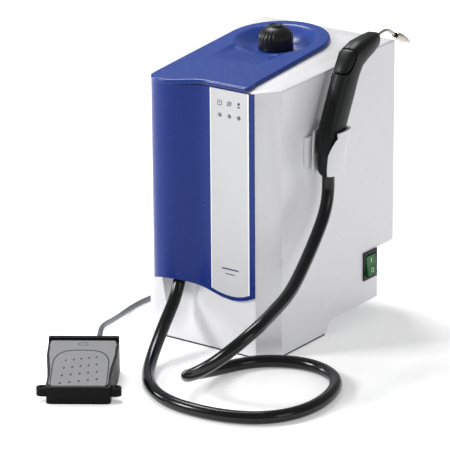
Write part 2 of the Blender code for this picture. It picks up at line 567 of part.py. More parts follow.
# ---- boiler and plumbing -----------------------------------------------------------------------------
def make_boiler():
    seat = at(0, COVER_BACK, 0)
    low, high, wall = BOILER_LOW, BOILER_HIGH, 0.0018
    outer = [(0.0125, low), (0.050, low)] + arc((0.052, low + 0.018), 0.018, -75, 0, 4)
    outer += arc((0.052, high - 0.018), 0.018, 0, 75, 4) + [(0.050, high), (0.0075, high)]
    inner = [(0.0075, high - wall), (0.050, high - wall)] + arc((0.052, high - 0.018), 0.0162, 75, 0, 4)
    inner += arc((0.052, low + 0.018), 0.0162, 0, -75, 4) + [(0.050, low + wall), (0.0125, low + wall)]
    add("boiler", turned(outer + inner, 24), STEEL, seat)
    add("boiler_jacket", ring(BOILER_R + GAP, 0.0758, 0.092, 0.205, 24), FOAM, seat)
    add("boiler_stand", ring(0.0440, 0.0490, 0.0208, low - GAP, 24), ZINC, seat)
    flange = [(0, 0.0330), (0.0220, 0.0330), (0.0220, low - GAP), (0.0118, low - GAP), (0.0118, 0.0520),
              (0, 0.0520)]
    heater = add("heating_element", turned(flange, 24), STEEL, seat)
    coil = cutter("heater_coil", turned(arc((0.026, 0.064), 0.003, 0, 300, 6), 18),
                  seat)
    legs = [moved(rod(0.0028, 0.0, 0.020, 10), along((x, COVER_BACK, 0.050), (x, 0, 0.0075)))
            for x in (-0.008, 0.008)]
    for tool in (coil, cutter("heater_leg_left", legs[0]), cutter("heater_leg_right", legs[1])):
        boolean(heater, tool, "UNION")
    add("drain_plug", turned([(0, 0.0215), (0.006, 0.0215), (0.006, 0.0280), (0.009, 0.0285), (0.009, 0.0326),
                              (0, 0.0326)], 6), BRASS, seat)
    top = high + GAP
    valve = [(0, top), (0.009, top), (0.009, top + 0.008), (0.006, top + 0.009), (0.006, top + 0.026),
             (0.004, top + 0.030), (0, top + 0.030)]
    add("safety_valve", turned(valve, 16), BRASS, at(0.036, 0.004, 0))
    switch = [(0, top), (0.007, top), (0.007, top + 0.008), (0.014, top + 0.010), (0.014, top + 0.034),
              (0, top + 0.034)]
    add("pressure_switch", turned(switch, 24), BLACK, at(-0.036, 0.004, 0))
    probe = [(0, top), (0.008, top), (0.008, top + 0.006), (0.004, top + 0.008), (0.004, top + 0.024),
             (0, top + 0.024)]
    add("level_probe", turned(probe, 16), STEEL, at(0.018, 0.056, 0))
    add("overheat_switch", turned([(0, top), (0.010, top), (0.010, top + 0.006), (0.008, top + 0.012),
                                   (0, top + 0.012)], 20), BLACK, at(-0.020, 0.056, 0))
    valve_x, valve_y, valve_z = SCOOP_X, -0.098, 0.190
    add("solenoid_valve", box((valve_x - 0.011, valve_y - 0.011, valve_z), (valve_x + 0.011, valve_y + 0.011,
                                                                              valve_z + 0.022)), BRASS)
    add("solenoid_coil", box((valve_x + 0.0113, valve_y - 0.014, valve_z - 0.004),
                             (valve_x + 0.045, valve_y + 0.014, valve_z + 0.026)), BLACK)
    rise = [(0.0, -0.021, top), (0.0, -0.021, top + 0.014), (-0.008, -0.034, top + 0.022),
            (-0.026, -0.078, top + 0.016), (valve_x, valve_y + 0.003, top - 0.006),
            (valve_x, valve_y, valve_z + 0.022 + GAP)]
    tube("steam_pipe", smooth_route(rise, 0.009), 0.006, STEEL, 2)
    mouth, above = GLAND_SEAT + GLAND_UP * 0.0250, GLAND_SEAT + GLAND_UP * 0.0360
    fall = [(valve_x, valve_y, valve_z - 2 * GAP), (valve_x, valve_y, valve_z - 0.012), tuple(above), tuple(mouth)]
    tube("outlet_pipe", smooth_route(fall, 0.010), 0.006, STEEL, 2)
    nut = [(0, -0.0130), (0.0080, -0.0130), (0.0083, 0.0012), (0.0083, 0.0030), (0.0083, 0.0100),
           (0.0115, 0.0100), (0.0115, 0.0170), (0.0050, 0.0190), (0.0050, 0.0242), (0, 0.0242)]
    add("hose_gland", turned(nut, 18), BRASS, along(GLAND_SEAT, GLAND_UP))
    add("control_board", box((-0.0935, -0.060, 0.100), (-0.0915, 0.085, 0.200)), BOARD)


make_boiler()


# ---- switch, inlet, socket ---------------------------------------------------------------------------
def make_electrics():
    side = HALF
    frame = box((side + GAP, SWITCH_Y - 0.0150, SWITCH_Z - 0.0185), (side + 0.0023, SWITCH_Y + 0.0150,
                                                                     SWITCH_Z + 0.0185))
    bezel = add("switch_bezel", frame, BLACK)
    boolean(bezel, cutter("bezel_window", box((side - 0.02, SWITCH_Y - 0.0106, SWITCH_Z - 0.0143),
                                              (side + 0.02, SWITCH_Y + 0.0106, SWITCH_Z + 0.0143))))
    body = box((side - 0.026, SWITCH_Y - 0.0108, SWITCH_Z - 0.0145), (side - 0.0072, SWITCH_Y + 0.0108,
                                                                      SWITCH_Z + 0.0145))
    add("switch_body", body, BLACK)
    pivot = side - 0.0015
    outline = [(-0.0034, -0.0034), (0.0010, -0.0132), (0.0082, -0.0123), (0.0052, 0.0), (0.0043, 0.0129),
               (-0.0018, 0.0132), (-0.0034, 0.0034)]
    hub = bpy.data.objects.new("rocker_axis", None)
    bpy.context.collection.objects.link(hub)
    hub.parent = BENCH
    hub.location = (pivot, SWITCH_Y, SWITCH_Z)
    add("rocker", prism(outline, -0.0100, 0.0100, "Y"), GREEN, None, hub)

    wall = NOTCH_Y
    rim = box((INLET_X - 0.0165, wall + GAP, INLET_Z - 0.0125), (INLET_X + 0.0165, wall + 0.003, INLET_Z + 0.0125))
    inlet = add("mains_inlet", rim, BLACK)
    core = box((INLET_X - 0.0135, wall - 0.018, INLET_Z - 0.0099), (INLET_X + 0.0135, wall + 0.001, INLET_Z + 0.0099))
    boolean(inlet, cutter("inlet_core", core), "UNION")
    boolean(inlet, cutter("inlet_well", box((INLET_X - 0.0122, wall - 0.0155, INLET_Z - 0.0084),
                                            (INLET_X + 0.0122, wall + 0.01, INLET_Z + 0.0084))))
    carrier = box((INLET_X - 0.0115, wall - 0.0152, INLET_Z - 0.0078), (INLET_X + 0.0115, wall - 0.0142,
                                                                        INLET_Z + 0.0078))
    pins = add("inlet_pins", carrier, ZINC)
    blades = [box((INLET_X + x - 0.001, wall - 0.0145, INLET_Z + z - 0.002), (INLET_X + x + 0.001, wall - 0.006,
                                                                             INLET_Z + z + 0.002))
              for x, z in ((-0.007, -0.002), (0.0, 0.003), (0.007, -0.002))]
    boolean(pins, cutter("inlet_blades", join(*blades)), "UNION")
    facing = along((SOCKET[0], wall, SOCKET[1]), (0, 1, 0))
    socket = [(0, -0.012), (0.0060, -0.012), (0.0060, GAP), (0.0085, GAP), (0.0085, 0.0030), (0, 0.0030)]
    add("foot_socket", turned(socket, 20), ZINC, facing)
    plug = [(0, 0.0033), (0.0078, 0.0033), (0.0078, 0.0160), (0.0060, 0.0180), (0.0045, 0.0340), (0, 0.0340)]
    add("foot_plug", turned(plug, 20), BLACK, facing)


make_electrics()


# ---- holder and handpiece ----------------------------------------------------------------------------
def make_holder():
    """A white plate on the cabinet's side, and the slotted cup that grips the handpiece."""
    add("holder_plate", box((HALF + GAP, -0.066, 0.232), (HALF + 0.0039, -0.026, 0.2690)), WHITE)
    stations = [(0.2240, 0.0142, 0.0150, -0.0450), (0.2330, 0.0150, 0.0165, -0.0450),
                (0.2560, 0.0154, 0.0180, -0.0430), (0.2760, 0.0154, 0.0225, -0.0375)]

    def shape(grow):
        rings = []
        for z, across, deep, y in stations:
            rings.append([(GRIP_X + (across + grow) * squircle(math.cos(a)), y + (deep + grow) * squircle(math.sin(a)),
                           z) for a in np.arange(0, math.tau, math.tau / 28)])
        return rings

    cup = add("holder_cup", loft(shape(0.0024)), WHITE)
    hollow = shape(0.0)
    hollow[0] = [(x, y, z - 0.004) for x, y, z in hollow[0]]
    hollow[-1] = [(x, y, z + 0.004) for x, y, z in hollow[-1]]
    boolean(cup, cutter("cup_hollow", loft(hollow)))
    slot = [(-0.0115, 0.2700), (-0.0115, 0.2450), (-0.0090, 0.2200), (0.0090, 0.2200), (0.0110, 0.2500),
            (0.0155, 0.2640), (0.0215, 0.2850), (-0.0160, 0.2850)]
    opening = [(GRIP_X + x, z) for x, z in slot]
    boolean(cup, cutter("cup_slot", prism(opening, -0.080, -0.048, "Y")))


def squircle(value):
    """Push a sine or cosine outwards, for a section between an ellipse and a box."""
    return math.copysign(abs(value) ** 0.62, value)


make_holder()


def grip_rings(shrink, first=0, last=None, count=20):
    rings = []
    for y, z, lean, across, deep in SPINE[first:last]:
        turn = math.radians(lean)
        points = []
        for angle in np.arange(0, math.tau, math.tau / count):
            side = (across - shrink) * squircle(math.cos(angle))
            depth = (deep - shrink) * squircle(math.sin(angle))
            points.append((GRIP_X + side, y + depth * math.cos(turn), z - depth * math.sin(turn)))
        rings.append(points)
    return rings


def make_handpiece():
    """Two grip shells, hose collar, trigger with pin and switch, steam tube, bent nozzle tube and tip."""
    bore = cutter("grip_bore", join(
        moved(rod(0.0024, -0.03, 0.03, 12), along((GRIP_X, 0.058, 0.3706), (0, 0.978, 0.208))),
        moved(rod(0.0052, -0.010, 0.004, 16), at(GRIP_X, -0.045, 0.253))))
    hollow = cutter("grip_hollow", loft(grip_rings(0.0022, 0, 9)))
    hollow_low = cutter("grip_throat", rod(0.0100, 0.2492, 0.2560, 20), at(GRIP_X, -0.045, 0))
    window = cutter("trigger_window", prism(TRIGGER_WINDOW, GRIP_X - 0.02, GRIP_X + 0.02, "X"))
    halves = {"grip_left": (GRIP_X - GAP / 2, GRIP_X + 0.05), "grip_right": (GRIP_X - 0.05, GRIP_X + GAP / 2)}
    for name, (low, high) in halves.items():
        shell = add(name, loft(grip_rings(0.0)), BLACK)
        for tool in (hollow, hollow_low, window, bore):
            boolean(shell, tool)
        boolean(shell, cutter(name + "_other_side", box((low, -0.2, 0.1), (high, 0.2, 0.5))))
    collar = [(0.0050, 0.2212), (0.0098, 0.2212), (0.0118, 0.2240), (0.0130, 0.2290), (0.0130, 0.2500),
              (0.0104, 0.2507), (0.0050, 0.2507)]
    add("hose_collar", turned(collar, 28), BLACK, at(GRIP_X, -0.045, 0))
    inner = [(GRIP_X, -0.0450, 0.2222), (GRIP_X, -0.0450, 0.2500), (GRIP_X, -0.0425, 0.2660),
             (GRIP_X, -0.0340, 0.2850), (GRIP_X, -0.0200, 0.3130), (GRIP_X, -0.0040, 0.3400),
             (GRIP_X, 0.0080, 0.3550), (GRIP_X, 0.0230, 0.3628), (GRIP_X, 0.0440, 0.3675)]
    tube("grip_tube", smooth_route(inner, 0.012), 0.0040, STEEL, 2)
    add("grip_switch", box((GRIP_X - 0.005, -0.0220, 0.3230), (GRIP_X + 0.005, -0.0170, 0.3350)), BLACK)
    add("trigger_pin", moved(rod(0.0012, -0.0104, 0.0104, 12), along((GRIP_X, *TRIGGER_AXIS), (1, 0, 0))), STEEL)

    hub = bpy.data.objects.new("trigger_axis", None)
    bpy.context.collection.objects.link(hub)
    hub.parent = BENCH
    hub.location = (GRIP_X, *TRIGGER_AXIS)
    back = Matrix.Translation((-GRIP_X, -TRIGGER_AXIS[0], -TRIGGER_AXIS[1]))
    trigger = add("trigger", moved(loft(grip_rings(0.0004)), back), BLACK, None, hub)
    keep = moved(prism(TRIGGER_SIDE, GRIP_X - 0.02, GRIP_X + 0.02, "X"), back)
    boolean(trigger, cutter("trigger_keep", keep, None, hub), "INTERSECT")
    tab = box((-0.003, -0.0120, -0.0024), (0.003, 0.0026, 0.0034))
    boolean(trigger, cutter("trigger_tab", tab, None, hub), "UNION")
    boolean(trigger, cutter("trigger_bore", moved(rod(0.00126, -0.02, 0.02, 12), along((0, 0, 0), (1, 0, 0))),
                            None, hub))

    bend = [(GRIP_X, 0.0452, 0.3679), (GRIP_X, 0.0585, 0.3707), (GRIP_X, 0.0710, 0.3732),
            (GRIP_X, 0.0800, 0.3735), (GRIP_X, 0.0880, 0.3708), (GRIP_X, 0.0940, 0.3672),
            (GRIP_X, 0.0985, 0.3640)]
    tube("nozzle_tube", smooth_route(bend, 0.004), 0.0040, STEEL, 3)
    down = Vector((0, 0.895, -0.446))
    mouth = Vector((GRIP_X, 0.0985, 0.3640)) + down * 0.0004
    add("nozzle_ring", turned([(0, 0), (0.0034, 0), (0.0036, 0.0024), (0, 0.0024)], 20), RUBBER,
        along(mouth, down))
    tip = [(0, 0), (0.0046, 0), (0.0050, 0.0008), (0.0050, 0.0160), (0.0042, 0.0185), (0.0042, 0.0215),
           (0.0012, 0.0380), (0.0007, 0.0380), (0.0007, 0.0330), (0, 0.0320)]
    add("nozzle_tip", turned(tip, 24), STEEL, along(mouth + down * 0.0027, down))


make_handpiece()


# ---- foot switch -------------------------------------------------------------------------------------
def foot_outline(front, back, inset):
    """The foot switch from above: wide at the back, with a waist before its front edge."""
    right = [(0.0330, front), (0.0375, front + 0.002), (0.0385, front + 0.006), (0.0380, -0.028), (0.0388, -0.012),
             (0.0408, 0.004), (0.0425, 0.020), (0.0425, back - 0.002), (0.0405, back)]
    right = [(x - inset, y) for x, y in right]
    return right + [(-x, y) for x, y in reversed(right)]


def make_foot_switch():
    """Black tub with screw ears, sprung grey pedal on a pin, switch, cable gland."""
    frame = bpy.data.objects.new("foot_frame", None)
    bpy.context.collection.objects.link(frame)
    frame.parent = BENCH
    frame.matrix_local = at(*FOOT_PLACE, 0, FOOT_TURN)
    front, back = -0.0516, 0.0590
    tub = add("pedal_base", prism(foot_outline(front, back, 0.0), 0.0, 0.060), FOOT_BLACK, None, frame)
    slope = [(-0.07, -0.01), (-0.07, 0.0205), (-0.050, 0.0205), (0.0505, 0.0400), (0.0512, 0.0445), (0.07, 0.0440),
             (0.07, -0.01)]
    boolean(tub, cutter("tub_slope", prism(slope, -0.1, 0.1, "X"), None, frame), "INTERSECT")
    wall = 0.0025
    inside = foot_outline(front + wall, 0.0505, wall)
    boolean(tub, cutter("tub_hollow", prism(inside, 0.004, 0.1), None, frame))
    ears = []
    for side in (-1, 1):
        lug = [(side * x, y) for x, y in arc((0.0440, front + 0.0125), 0.0066, -90, 90, 9)]
        ears.append(prism([(side * 0.036, front + 0.0059)] + lug + [(side * 0.036, front + 0.0191)], 0.0070, 0.0170))
    boolean(tub, cutter("ears_shape", join(*ears), None, frame), "UNION")
    pedal_tools = [moved(rod(0.0022, 0.0, 0.03, 12), at(side * 0.0450, front + 0.0125, 0)) for side in (-1, 1)]
    pedal_tools.append(moved(rod(0.0020 + GAP, -0.06, 0.06, 12), along((0, PEDAL_AXIS[0], PEDAL_AXIS[1]), (1, 0, 0))))
    pedal_tools.append(moved(rod(0.0045, 0.0, 0.03, 16), along((GLAND_X, 0.045, 0.034), (0, 1, 0))))
    boolean(tub, cutter("tub_holes", join(*pedal_tools), None, frame))
    add("pedal_pin", moved(rod(0.0020, -0.0420, 0.0420, 12), along((0, *PEDAL_AXIS), (1, 0, 0))), STEEL, None, frame)

    hub = bpy.data.objects.new("pedal_axis", None)
    bpy.context.collection.objects.link(hub)
    hub.parent = frame
    hub.location = (0, *PEDAL_AXIS)
    clear = 0.0006
    plate = foot_outline(front + wall + clear, 0.0495, wall + clear)
    slab = [(-0.060, 0.0172), (0.040, 0.0357), (0.040, 0.0330), (0.0500, 0.0330), (0.0500, 0.0418), (-0.060, 0.0205)]
    shift = Matrix.Translation((0, -PEDAL_AXIS[0], -PEDAL_AXIS[1]))
    pedal = add("pedal", moved(prism(plate, 0.0, 0.06), shift), PEDAL_GREY, None, hub)
    boolean(pedal, cutter("pedal_slope", moved(prism(slab, -0.1, 0.1, "X"), shift), None, hub), "INTERSECT")
    boolean(pedal, cutter("pedal_bore", moved(rod(0.0020 + 0.00006, -0.06, 0.06, 12), along((0, 0, 0), (1, 0, 0))),
                          None, hub))
    turns = [(0.006 * math.cos(a), -0.020 + 0.006 * math.sin(a), 0.0052 + 0.0182 * a / (4 * math.tau))
             for a in np.linspace(0, 4 * math.tau, 33)]
    tube("pedal_spring", turns, 0.0010, STEEL, 1, frame)
    add("pedal_switch", box((-0.010, 0.000, 0.0043), (0.010, 0.014, 0.0190)), BLACK, None, frame)
    gland = [(0, -0.006), (0.0038, -0.006), (0.0038, 0.0008), (0.0062, 0.0008), (0.0060, 0.0050), (0.0042, 0.0135),
             (0, 0.0135)]
    add("foot_gland", turned(gland, 20), RUBBER, along((GLAND_X, back, 0.034), (0, 1, 0.06)), frame)


make_foot_switch()


# ---- cords -------------------------------------------------------------------------------------------
tube("steam_hose", smooth_route(HOSE_ROUTE, 0.024), HOSE_D, RUBBER, 2)
tube("foot_cable", smooth_route(CABLE_ROUTE, 0.018), CABLE_D, CABLE_GREY, 1)
tube("foot_cable_tail", smooth_route(TAIL_ROUTE, 0.012), CABLE_D, CABLE_GREY, 1)
add("foot_cable_coil", ring(COIL_D / 2 - CABLE_D, COIL_D / 2 + CABLE_D, 0.0001, 2 * CABLE_D, 40), CABLE_GREY,
    at(*COIL_PLACE, 0))


# ---- the whole set stands with its bottom centre at the origin ----------------------------------------
CORDS = {"steam_hose", "foot_cable", "foot_cable_tail", "foot_cable_coil", "foot_plug"}
bpy.context.view_layer.update()
solid = [o for o in bpy.data.objects if o.type in {"MESH", "CURVE"} and not o.hide_render and o.name not in CORDS]
spans = bounds_of(solid)
BENCH.location = (-sum(spans[0]) / 2, -sum(spans[1]) / 2, 0)
bpy.context.view_layer.update()
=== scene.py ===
"""Finished model of the bench steam cleaner: cabinet, filler cap, handpiece on its hose, foot switch."""
import logging
import math
from collections.abc import Callable, Iterable, Sequence
from dataclasses import dataclass, field
from enum import Enum

import bmesh
import bpy
import numpy as np
from mathutils import Matrix, Vector


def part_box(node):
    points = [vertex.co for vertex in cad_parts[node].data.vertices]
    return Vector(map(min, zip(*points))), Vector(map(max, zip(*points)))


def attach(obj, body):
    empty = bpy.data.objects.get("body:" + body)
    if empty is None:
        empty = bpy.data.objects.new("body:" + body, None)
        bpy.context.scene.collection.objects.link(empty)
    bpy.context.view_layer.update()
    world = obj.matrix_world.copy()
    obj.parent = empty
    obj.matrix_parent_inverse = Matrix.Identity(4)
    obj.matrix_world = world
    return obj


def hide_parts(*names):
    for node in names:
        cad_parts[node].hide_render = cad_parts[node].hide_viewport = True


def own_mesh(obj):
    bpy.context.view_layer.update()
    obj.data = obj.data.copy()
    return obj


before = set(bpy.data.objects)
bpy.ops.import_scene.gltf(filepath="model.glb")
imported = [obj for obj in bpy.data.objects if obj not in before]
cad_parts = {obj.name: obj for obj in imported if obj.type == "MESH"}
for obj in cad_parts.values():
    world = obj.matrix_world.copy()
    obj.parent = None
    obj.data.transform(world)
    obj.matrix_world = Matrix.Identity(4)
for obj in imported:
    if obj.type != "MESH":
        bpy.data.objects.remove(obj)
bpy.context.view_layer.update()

log = logging.getLogger("steam_cleaner")
Point = tuple[float, float, float]

# The cabinet's own frame has its origin on the table under the middle of the cabinet.
_low, _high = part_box("housing")
ORIGIN = Vector(((_low[0] + _high[0]) / 2, (_low[1] + _high[1]) / 2, 0.0))


class Body(Enum):
    """The bodies that pieces ride on."""

    ROOT = "root"
    CAP_KNOB = "cap_knob"
    HANDPIECE = "handpiece"
    TRIGGER = "trigger"
    ROCKER = "rocker"
    PEDAL = "pedal"


# ---- shader maths ------------------------------------------------------------------------------------
class Signal:
    """A socket of a material's node tree that can be calculated with."""

    def __init__(self, graph: "Graph", socket: bpy.types.NodeSocket) -> None:
        """Wrap a socket."""
        self.graph = graph
        self.socket = socket

    def _math(self, operation: str, *values: "Signal | float") -> "Signal":
        """Add one Math node."""
        sockets = dict(enumerate(values))
        return self.graph.node("ShaderNodeMath", {"operation": operation}, sockets)

    def __add__(self, other: "Signal | float") -> "Signal":
        """Sum of the two."""
        return self._math("ADD", self, other)

    def __radd__(self, other: float) -> "Signal":
        """Sum with the number first."""
        return self._math("ADD", other, self)

    def __sub__(self, other: "Signal | float") -> "Signal":
        """Difference of the two."""
        return self._math("SUBTRACT", self, other)

    def __rsub__(self, other: float) -> "Signal":
        """Difference with the number first."""
        return self._math("SUBTRACT", other, self)

    def __mul__(self, other: "Signal | float") -> "Signal":
        """Product of the two."""
        return self._math("MULTIPLY", self, other)

    def __rmul__(self, other: float) -> "Signal":
        """Product with the number first."""
        return self._math("MULTIPLY", other, self)

    def __truediv__(self, other: "Signal | float") -> "Signal":
        """Quotient of the two."""
        return self._math("DIVIDE", self, other)

    def __pow__(self, other: float) -> "Signal":
        """This one to a power."""
        return self._math("POWER", self, other)

    def __abs__(self) -> "Signal":
        """Size without the sign."""
        return self._math("ABSOLUTE", self)

    def __lt__(self, other: "Signal | float") -> "Signal":
        """1 where this one is smaller."""
        return self._math("LESS_THAN", self, other)

    def __gt__(self, other: "Signal | float") -> "Signal":
        """1 where this one is larger."""
        return self._math("GREATER_THAN", self, other)

    def at_least(self, other: float) -> "Signal":
        """The larger of the two."""
        return self._math("MAXIMUM", self, other)

    def between(self, low: float, high: float) -> "Signal":
        """1 between two values."""
        return (self > low) * (self < high)

    def to_nearest(self, pitch: float) -> "Signal":
        """Distance to the nearest multiple of a pitch."""
        return abs(self - self._math("ROUND", self / pitch) * pitch)


class Graph:
    """One material's node tree."""

    def __init__(self, name: str) -> None:
        """Start a material.

        Args:
            name: the material's name.
        """
        self.material = bpy.data.materials.new(name)
        self.material.use_nodes = True
        self.tree = self.material.node_tree
        self.shader = self.tree.nodes["Principled BSDF"]

    def node(self, kind: str, settings: dict | None = None, sockets: dict | None = None,
             output: int | str = 0) -> Signal:
        """Add a node.

        Args:
            kind: the node's type.
            settings: its attributes, set first.
            sockets: values or signals by input name or number.
            output: which output to return.

        Returns:
            That output.
        """
        made = self.tree.nodes.new(kind)
        for name, value in (settings or {}).items():
            setattr(made, name, value)
        for name, value in (sockets or {}).items():
            self.feed(made.inputs[name], value)
        return Signal(self, made.outputs[output])

    def feed(self, socket: bpy.types.NodeSocket, value: "Signal | float | Sequence[float]") -> None:
        """Give an input its value or link.

        Args:
            socket: the input.
            value: a number, a colour or a signal.
        """
        if isinstance(value, Signal):
            self.tree.links.new(value.socket, socket)
        else:
            socket.default_value = value

    def place(self, turn: float = 0.0, origin: Point = (0.0, 0.0, 0.0)) -> Signal:
        """Object coordinates seen from a point, turned about Z.

        Args:
            turn: angle of the local X axis, in radians.
            origin: the point, in the row frame.

        Returns:
            The vector.
        """
        coordinates = self.node("ShaderNodeTexCoord", output="Object")
        moved = self.node("ShaderNodeMapping", {"vector_type": "TEXTURE"},
                          {"Vector": coordinates, "Location": origin, "Rotation": (0.0, 0.0, turn)})
        return moved

    def axes(self, vector: Signal) -> tuple[Signal, Signal, Signal]:
        """The three parts of a vector."""
        made = self.node("ShaderNodeSeparateXYZ", sockets={0: vector}).socket.node
        return tuple(Signal(self, made.outputs[i]) for i in range(3))

    def noise(self, vector: Signal, scale: float, detail: float = 2.0) -> Signal:
        """Noise from 0 to 1 at a scale per metre."""
        return self.node("ShaderNodeTexNoise", sockets={"Vector": vector, "Scale": scale, "Detail": detail},
                         output="Fac")

    def mix(self, factor: Signal, first: "Signal | Sequence[float]",
            second: "Signal | Sequence[float]") -> Signal:
        """Two colours mixed by a factor.

        Args:
            factor: 0 for the first, 1 for the second.
            first: a colour.
            second: a colour.

        Returns:
            The mixed colour.
        """
        made = self.node("ShaderNodeMix", {"data_type": "RGBA", "clamp_factor": True}, output=2)
        self.feed(made.socket.node.inputs[0], factor)
        self.feed(made.socket.node.inputs[6], first)
        self.feed(made.socket.node.inputs[7], second)
        return made

    def bump(self, height: Signal, distance: float, strength: float = 1.0) -> None:
        """Raise the surface by a height.

        Args:
            height: the height, from 0 to 1.
            distance: what 1 stands for, in metres.
            strength: how much of it shows.
        """
        normal = self.node("ShaderNodeBump", sockets={"Height": height, "Distance": distance,
                                                      "Strength": strength}, output="Normal")
        self.feed(self.shader.inputs["Normal"], normal)


def tint(colour: Sequence[float], factor: float) -> tuple[float, float, float, float]:
    """A colour made lighter or darker."""
    return (*(min(1.0, part * factor) for part in colour), 1.0)


def clamp(value: float) -> float:
    """Keep a value between 0 and 1."""
    return min(1.0, max(0.0, value))


def ease(share: float) -> float:
    """Turn a share into one that starts and ends level."""
    return share * share * (3 - 2 * share)


# ---- finishes ----------------------------------------------------------------------------------------
MADE: dict[str, bpy.types.Material] = {}


@dataclass(frozen=True)
class Moulding:
    """Moulded plastic or rubber: fine grain, faint cloudiness and handling marks in the gloss."""

    name: str
    slot: str
    colour: tuple[float, float, float]
    roughness: float = 0.4
    grain: float = 1400.0
    grain_depth: float = 0.00004
    cloud: float = 0.05
    coat: float = 0.0
    transmission: float = 0.0
    specular: float = 0.5

    def marks(self, graph: Graph) -> tuple[Signal | None, tuple[float, float, float]]:
        """Printed or pressed marks, some darkened with painted shade: a mask and its colour. The plain
        finish has none.
        """
        return None, (0.0, 0.0, 0.0)

    def material(self) -> bpy.types.Material:
        """Make the material, once.

        Returns:
            The material.
        """
        if self.name in MADE:
            return MADE[self.name]
        graph = Graph(self.name)
        place = graph.place()
        fine = graph.noise(place, self.grain, 3.0)
        broad = graph.noise(place, 14.0, 4.0)
        smears = graph.noise(place, 90.0, 5.0)
        colour = graph.mix(broad, tint(self.colour, 1 - self.cloud), tint(self.colour, 1 + self.cloud))
        colour = graph.mix(fine * 0.08, colour, tint(self.colour, 0.86))
        mask, mark_colour = self.marks(graph)
        height = fine
        if mask is not None:
            # Marks take their colour here: print on the label overlay, and painted shade in the cover's
            # groove.
            colour = graph.mix(mask, colour, (*mark_colour, 1.0))
            height = fine * 0.25 + (1 - mask) * 2.0
        graph.feed(graph.shader.inputs["Base Color"], colour)
        graph.feed(graph.shader.inputs["Roughness"],
                   self.roughness + (smears - 0.5) * 0.14 + (fine - 0.5) * 0.05)
        graph.shader.inputs["Coat Weight"].default_value = self.coat
        graph.shader.inputs["Coat Roughness"].default_value = 0.12
        graph.shader.inputs["Transmission Weight"].default_value = self.transmission
        graph.shader.inputs["Specular IOR Level"].default_value = self.specular
        graph.bump(height, self.grain_depth, 0.6)
        MADE[self.name] = graph.material
        return graph.material


@dataclass(frozen=True)
class Metal:
    """Turned or drawn metal with fine lines along one axis."""

    name: str
    slot: str
    colour: tuple[float, float, float]
    roughness: float = 0.28
    stretch: tuple[float, float, float] = (1.0, 1.0, 12.0)

    def material(self) -> bpy.types.Material:
        """Make the material, once.

        Returns:
            The material, the same one each time.
        """
        if self.name in MADE:
            return MADE[self.name]
        graph = Graph(self.name)
        place = graph.place()
        lines_at = graph.node("ShaderNodeMapping", sockets={"Vector": place, "Scale": self.stretch})
        lines = graph.noise(lines_at, 700.0, 3.0)
        stain = graph.noise(place, 60.0, 4.0)
        graph.feed(graph.shader.inputs["Base Color"],
                   graph.mix(stain, tint(self.colour, 0.82), tint(self.colour, 1.08)))
        graph.feed(graph.shader.inputs["Roughness"], self.roughness + (lines - 0.5) * 0.22)
        graph.shader.inputs["Metallic"].default_value = 1.0
        graph.bump(lines, 0.00002, 0.5)
        MADE[self.name] = graph.material
        return graph.material


@dataclass(frozen=True)
class LippedCover(Moulding):
    """The cover's moulding, with the fine groove that runs round under its lip, pressed in by a bump and
    darkened with painted shade.
    """

    rise: float = 0.092
    top: float = 0.356
    depth: float = 0.0030
    half_line: float = 0.0004
    rim: float = 0.0655
    round_y: float = 0.019
    front_y: float = -0.134

    def marks(self, graph: Graph) -> tuple[Signal | None, tuple[float, float, float]]:
        """A groove at a fixed depth under the sloping top, darkened as painted shade.

        Args:
            graph: the finish's material.

        Returns:
            Where the groove is, and the dark blue of its painted shade.
        """
        across, along, up = graph.axes(graph.place(origin=tuple(ORIGIN)))
        below = (along * self.rise + self.top) - up
        behind = along - self.round_y
        round_end = ((across * across + behind * behind) > self.rim ** 2) * (behind > 0.0)
        outside = (abs(across) > self.rim) + (along < self.front_y) + round_end
        # Painted shade: the groove's blue is cut to 35 % as the shade inside it, while the bump presses the
        # groove in.
        groove = below.between(self.depth - self.half_line, self.depth + self.half_line) * outside
        return groove, tint(self.colour, 0.35)[:3]


@dataclass(frozen=True)
class LabelPrint(Moulding):
    """The overlay's print: a white strip inside each upright edge."""

    left: float = 0.0135
    right: float = 0.0705
    left_line: float = 0.0014
    right_line: float = 0.0016
    mark_colour: tuple[float, float, float] = (0.92, 0.93, 0.95)

    def marks(self, graph: Graph) -> tuple[Signal | None, tuple[float, float, float]]:
        """White strips inside both upright edges.

        Args:
            graph: the finish's material.

        Returns:
            Where the marks are, and their colour.
        """
        across, _, _ = graph.axes(graph.place(origin=tuple(ORIGIN)))
        first = across.between(self.left, self.left + self.left_line)
        return first + across.between(self.right - self.right_line, self.right), self.mark_colour


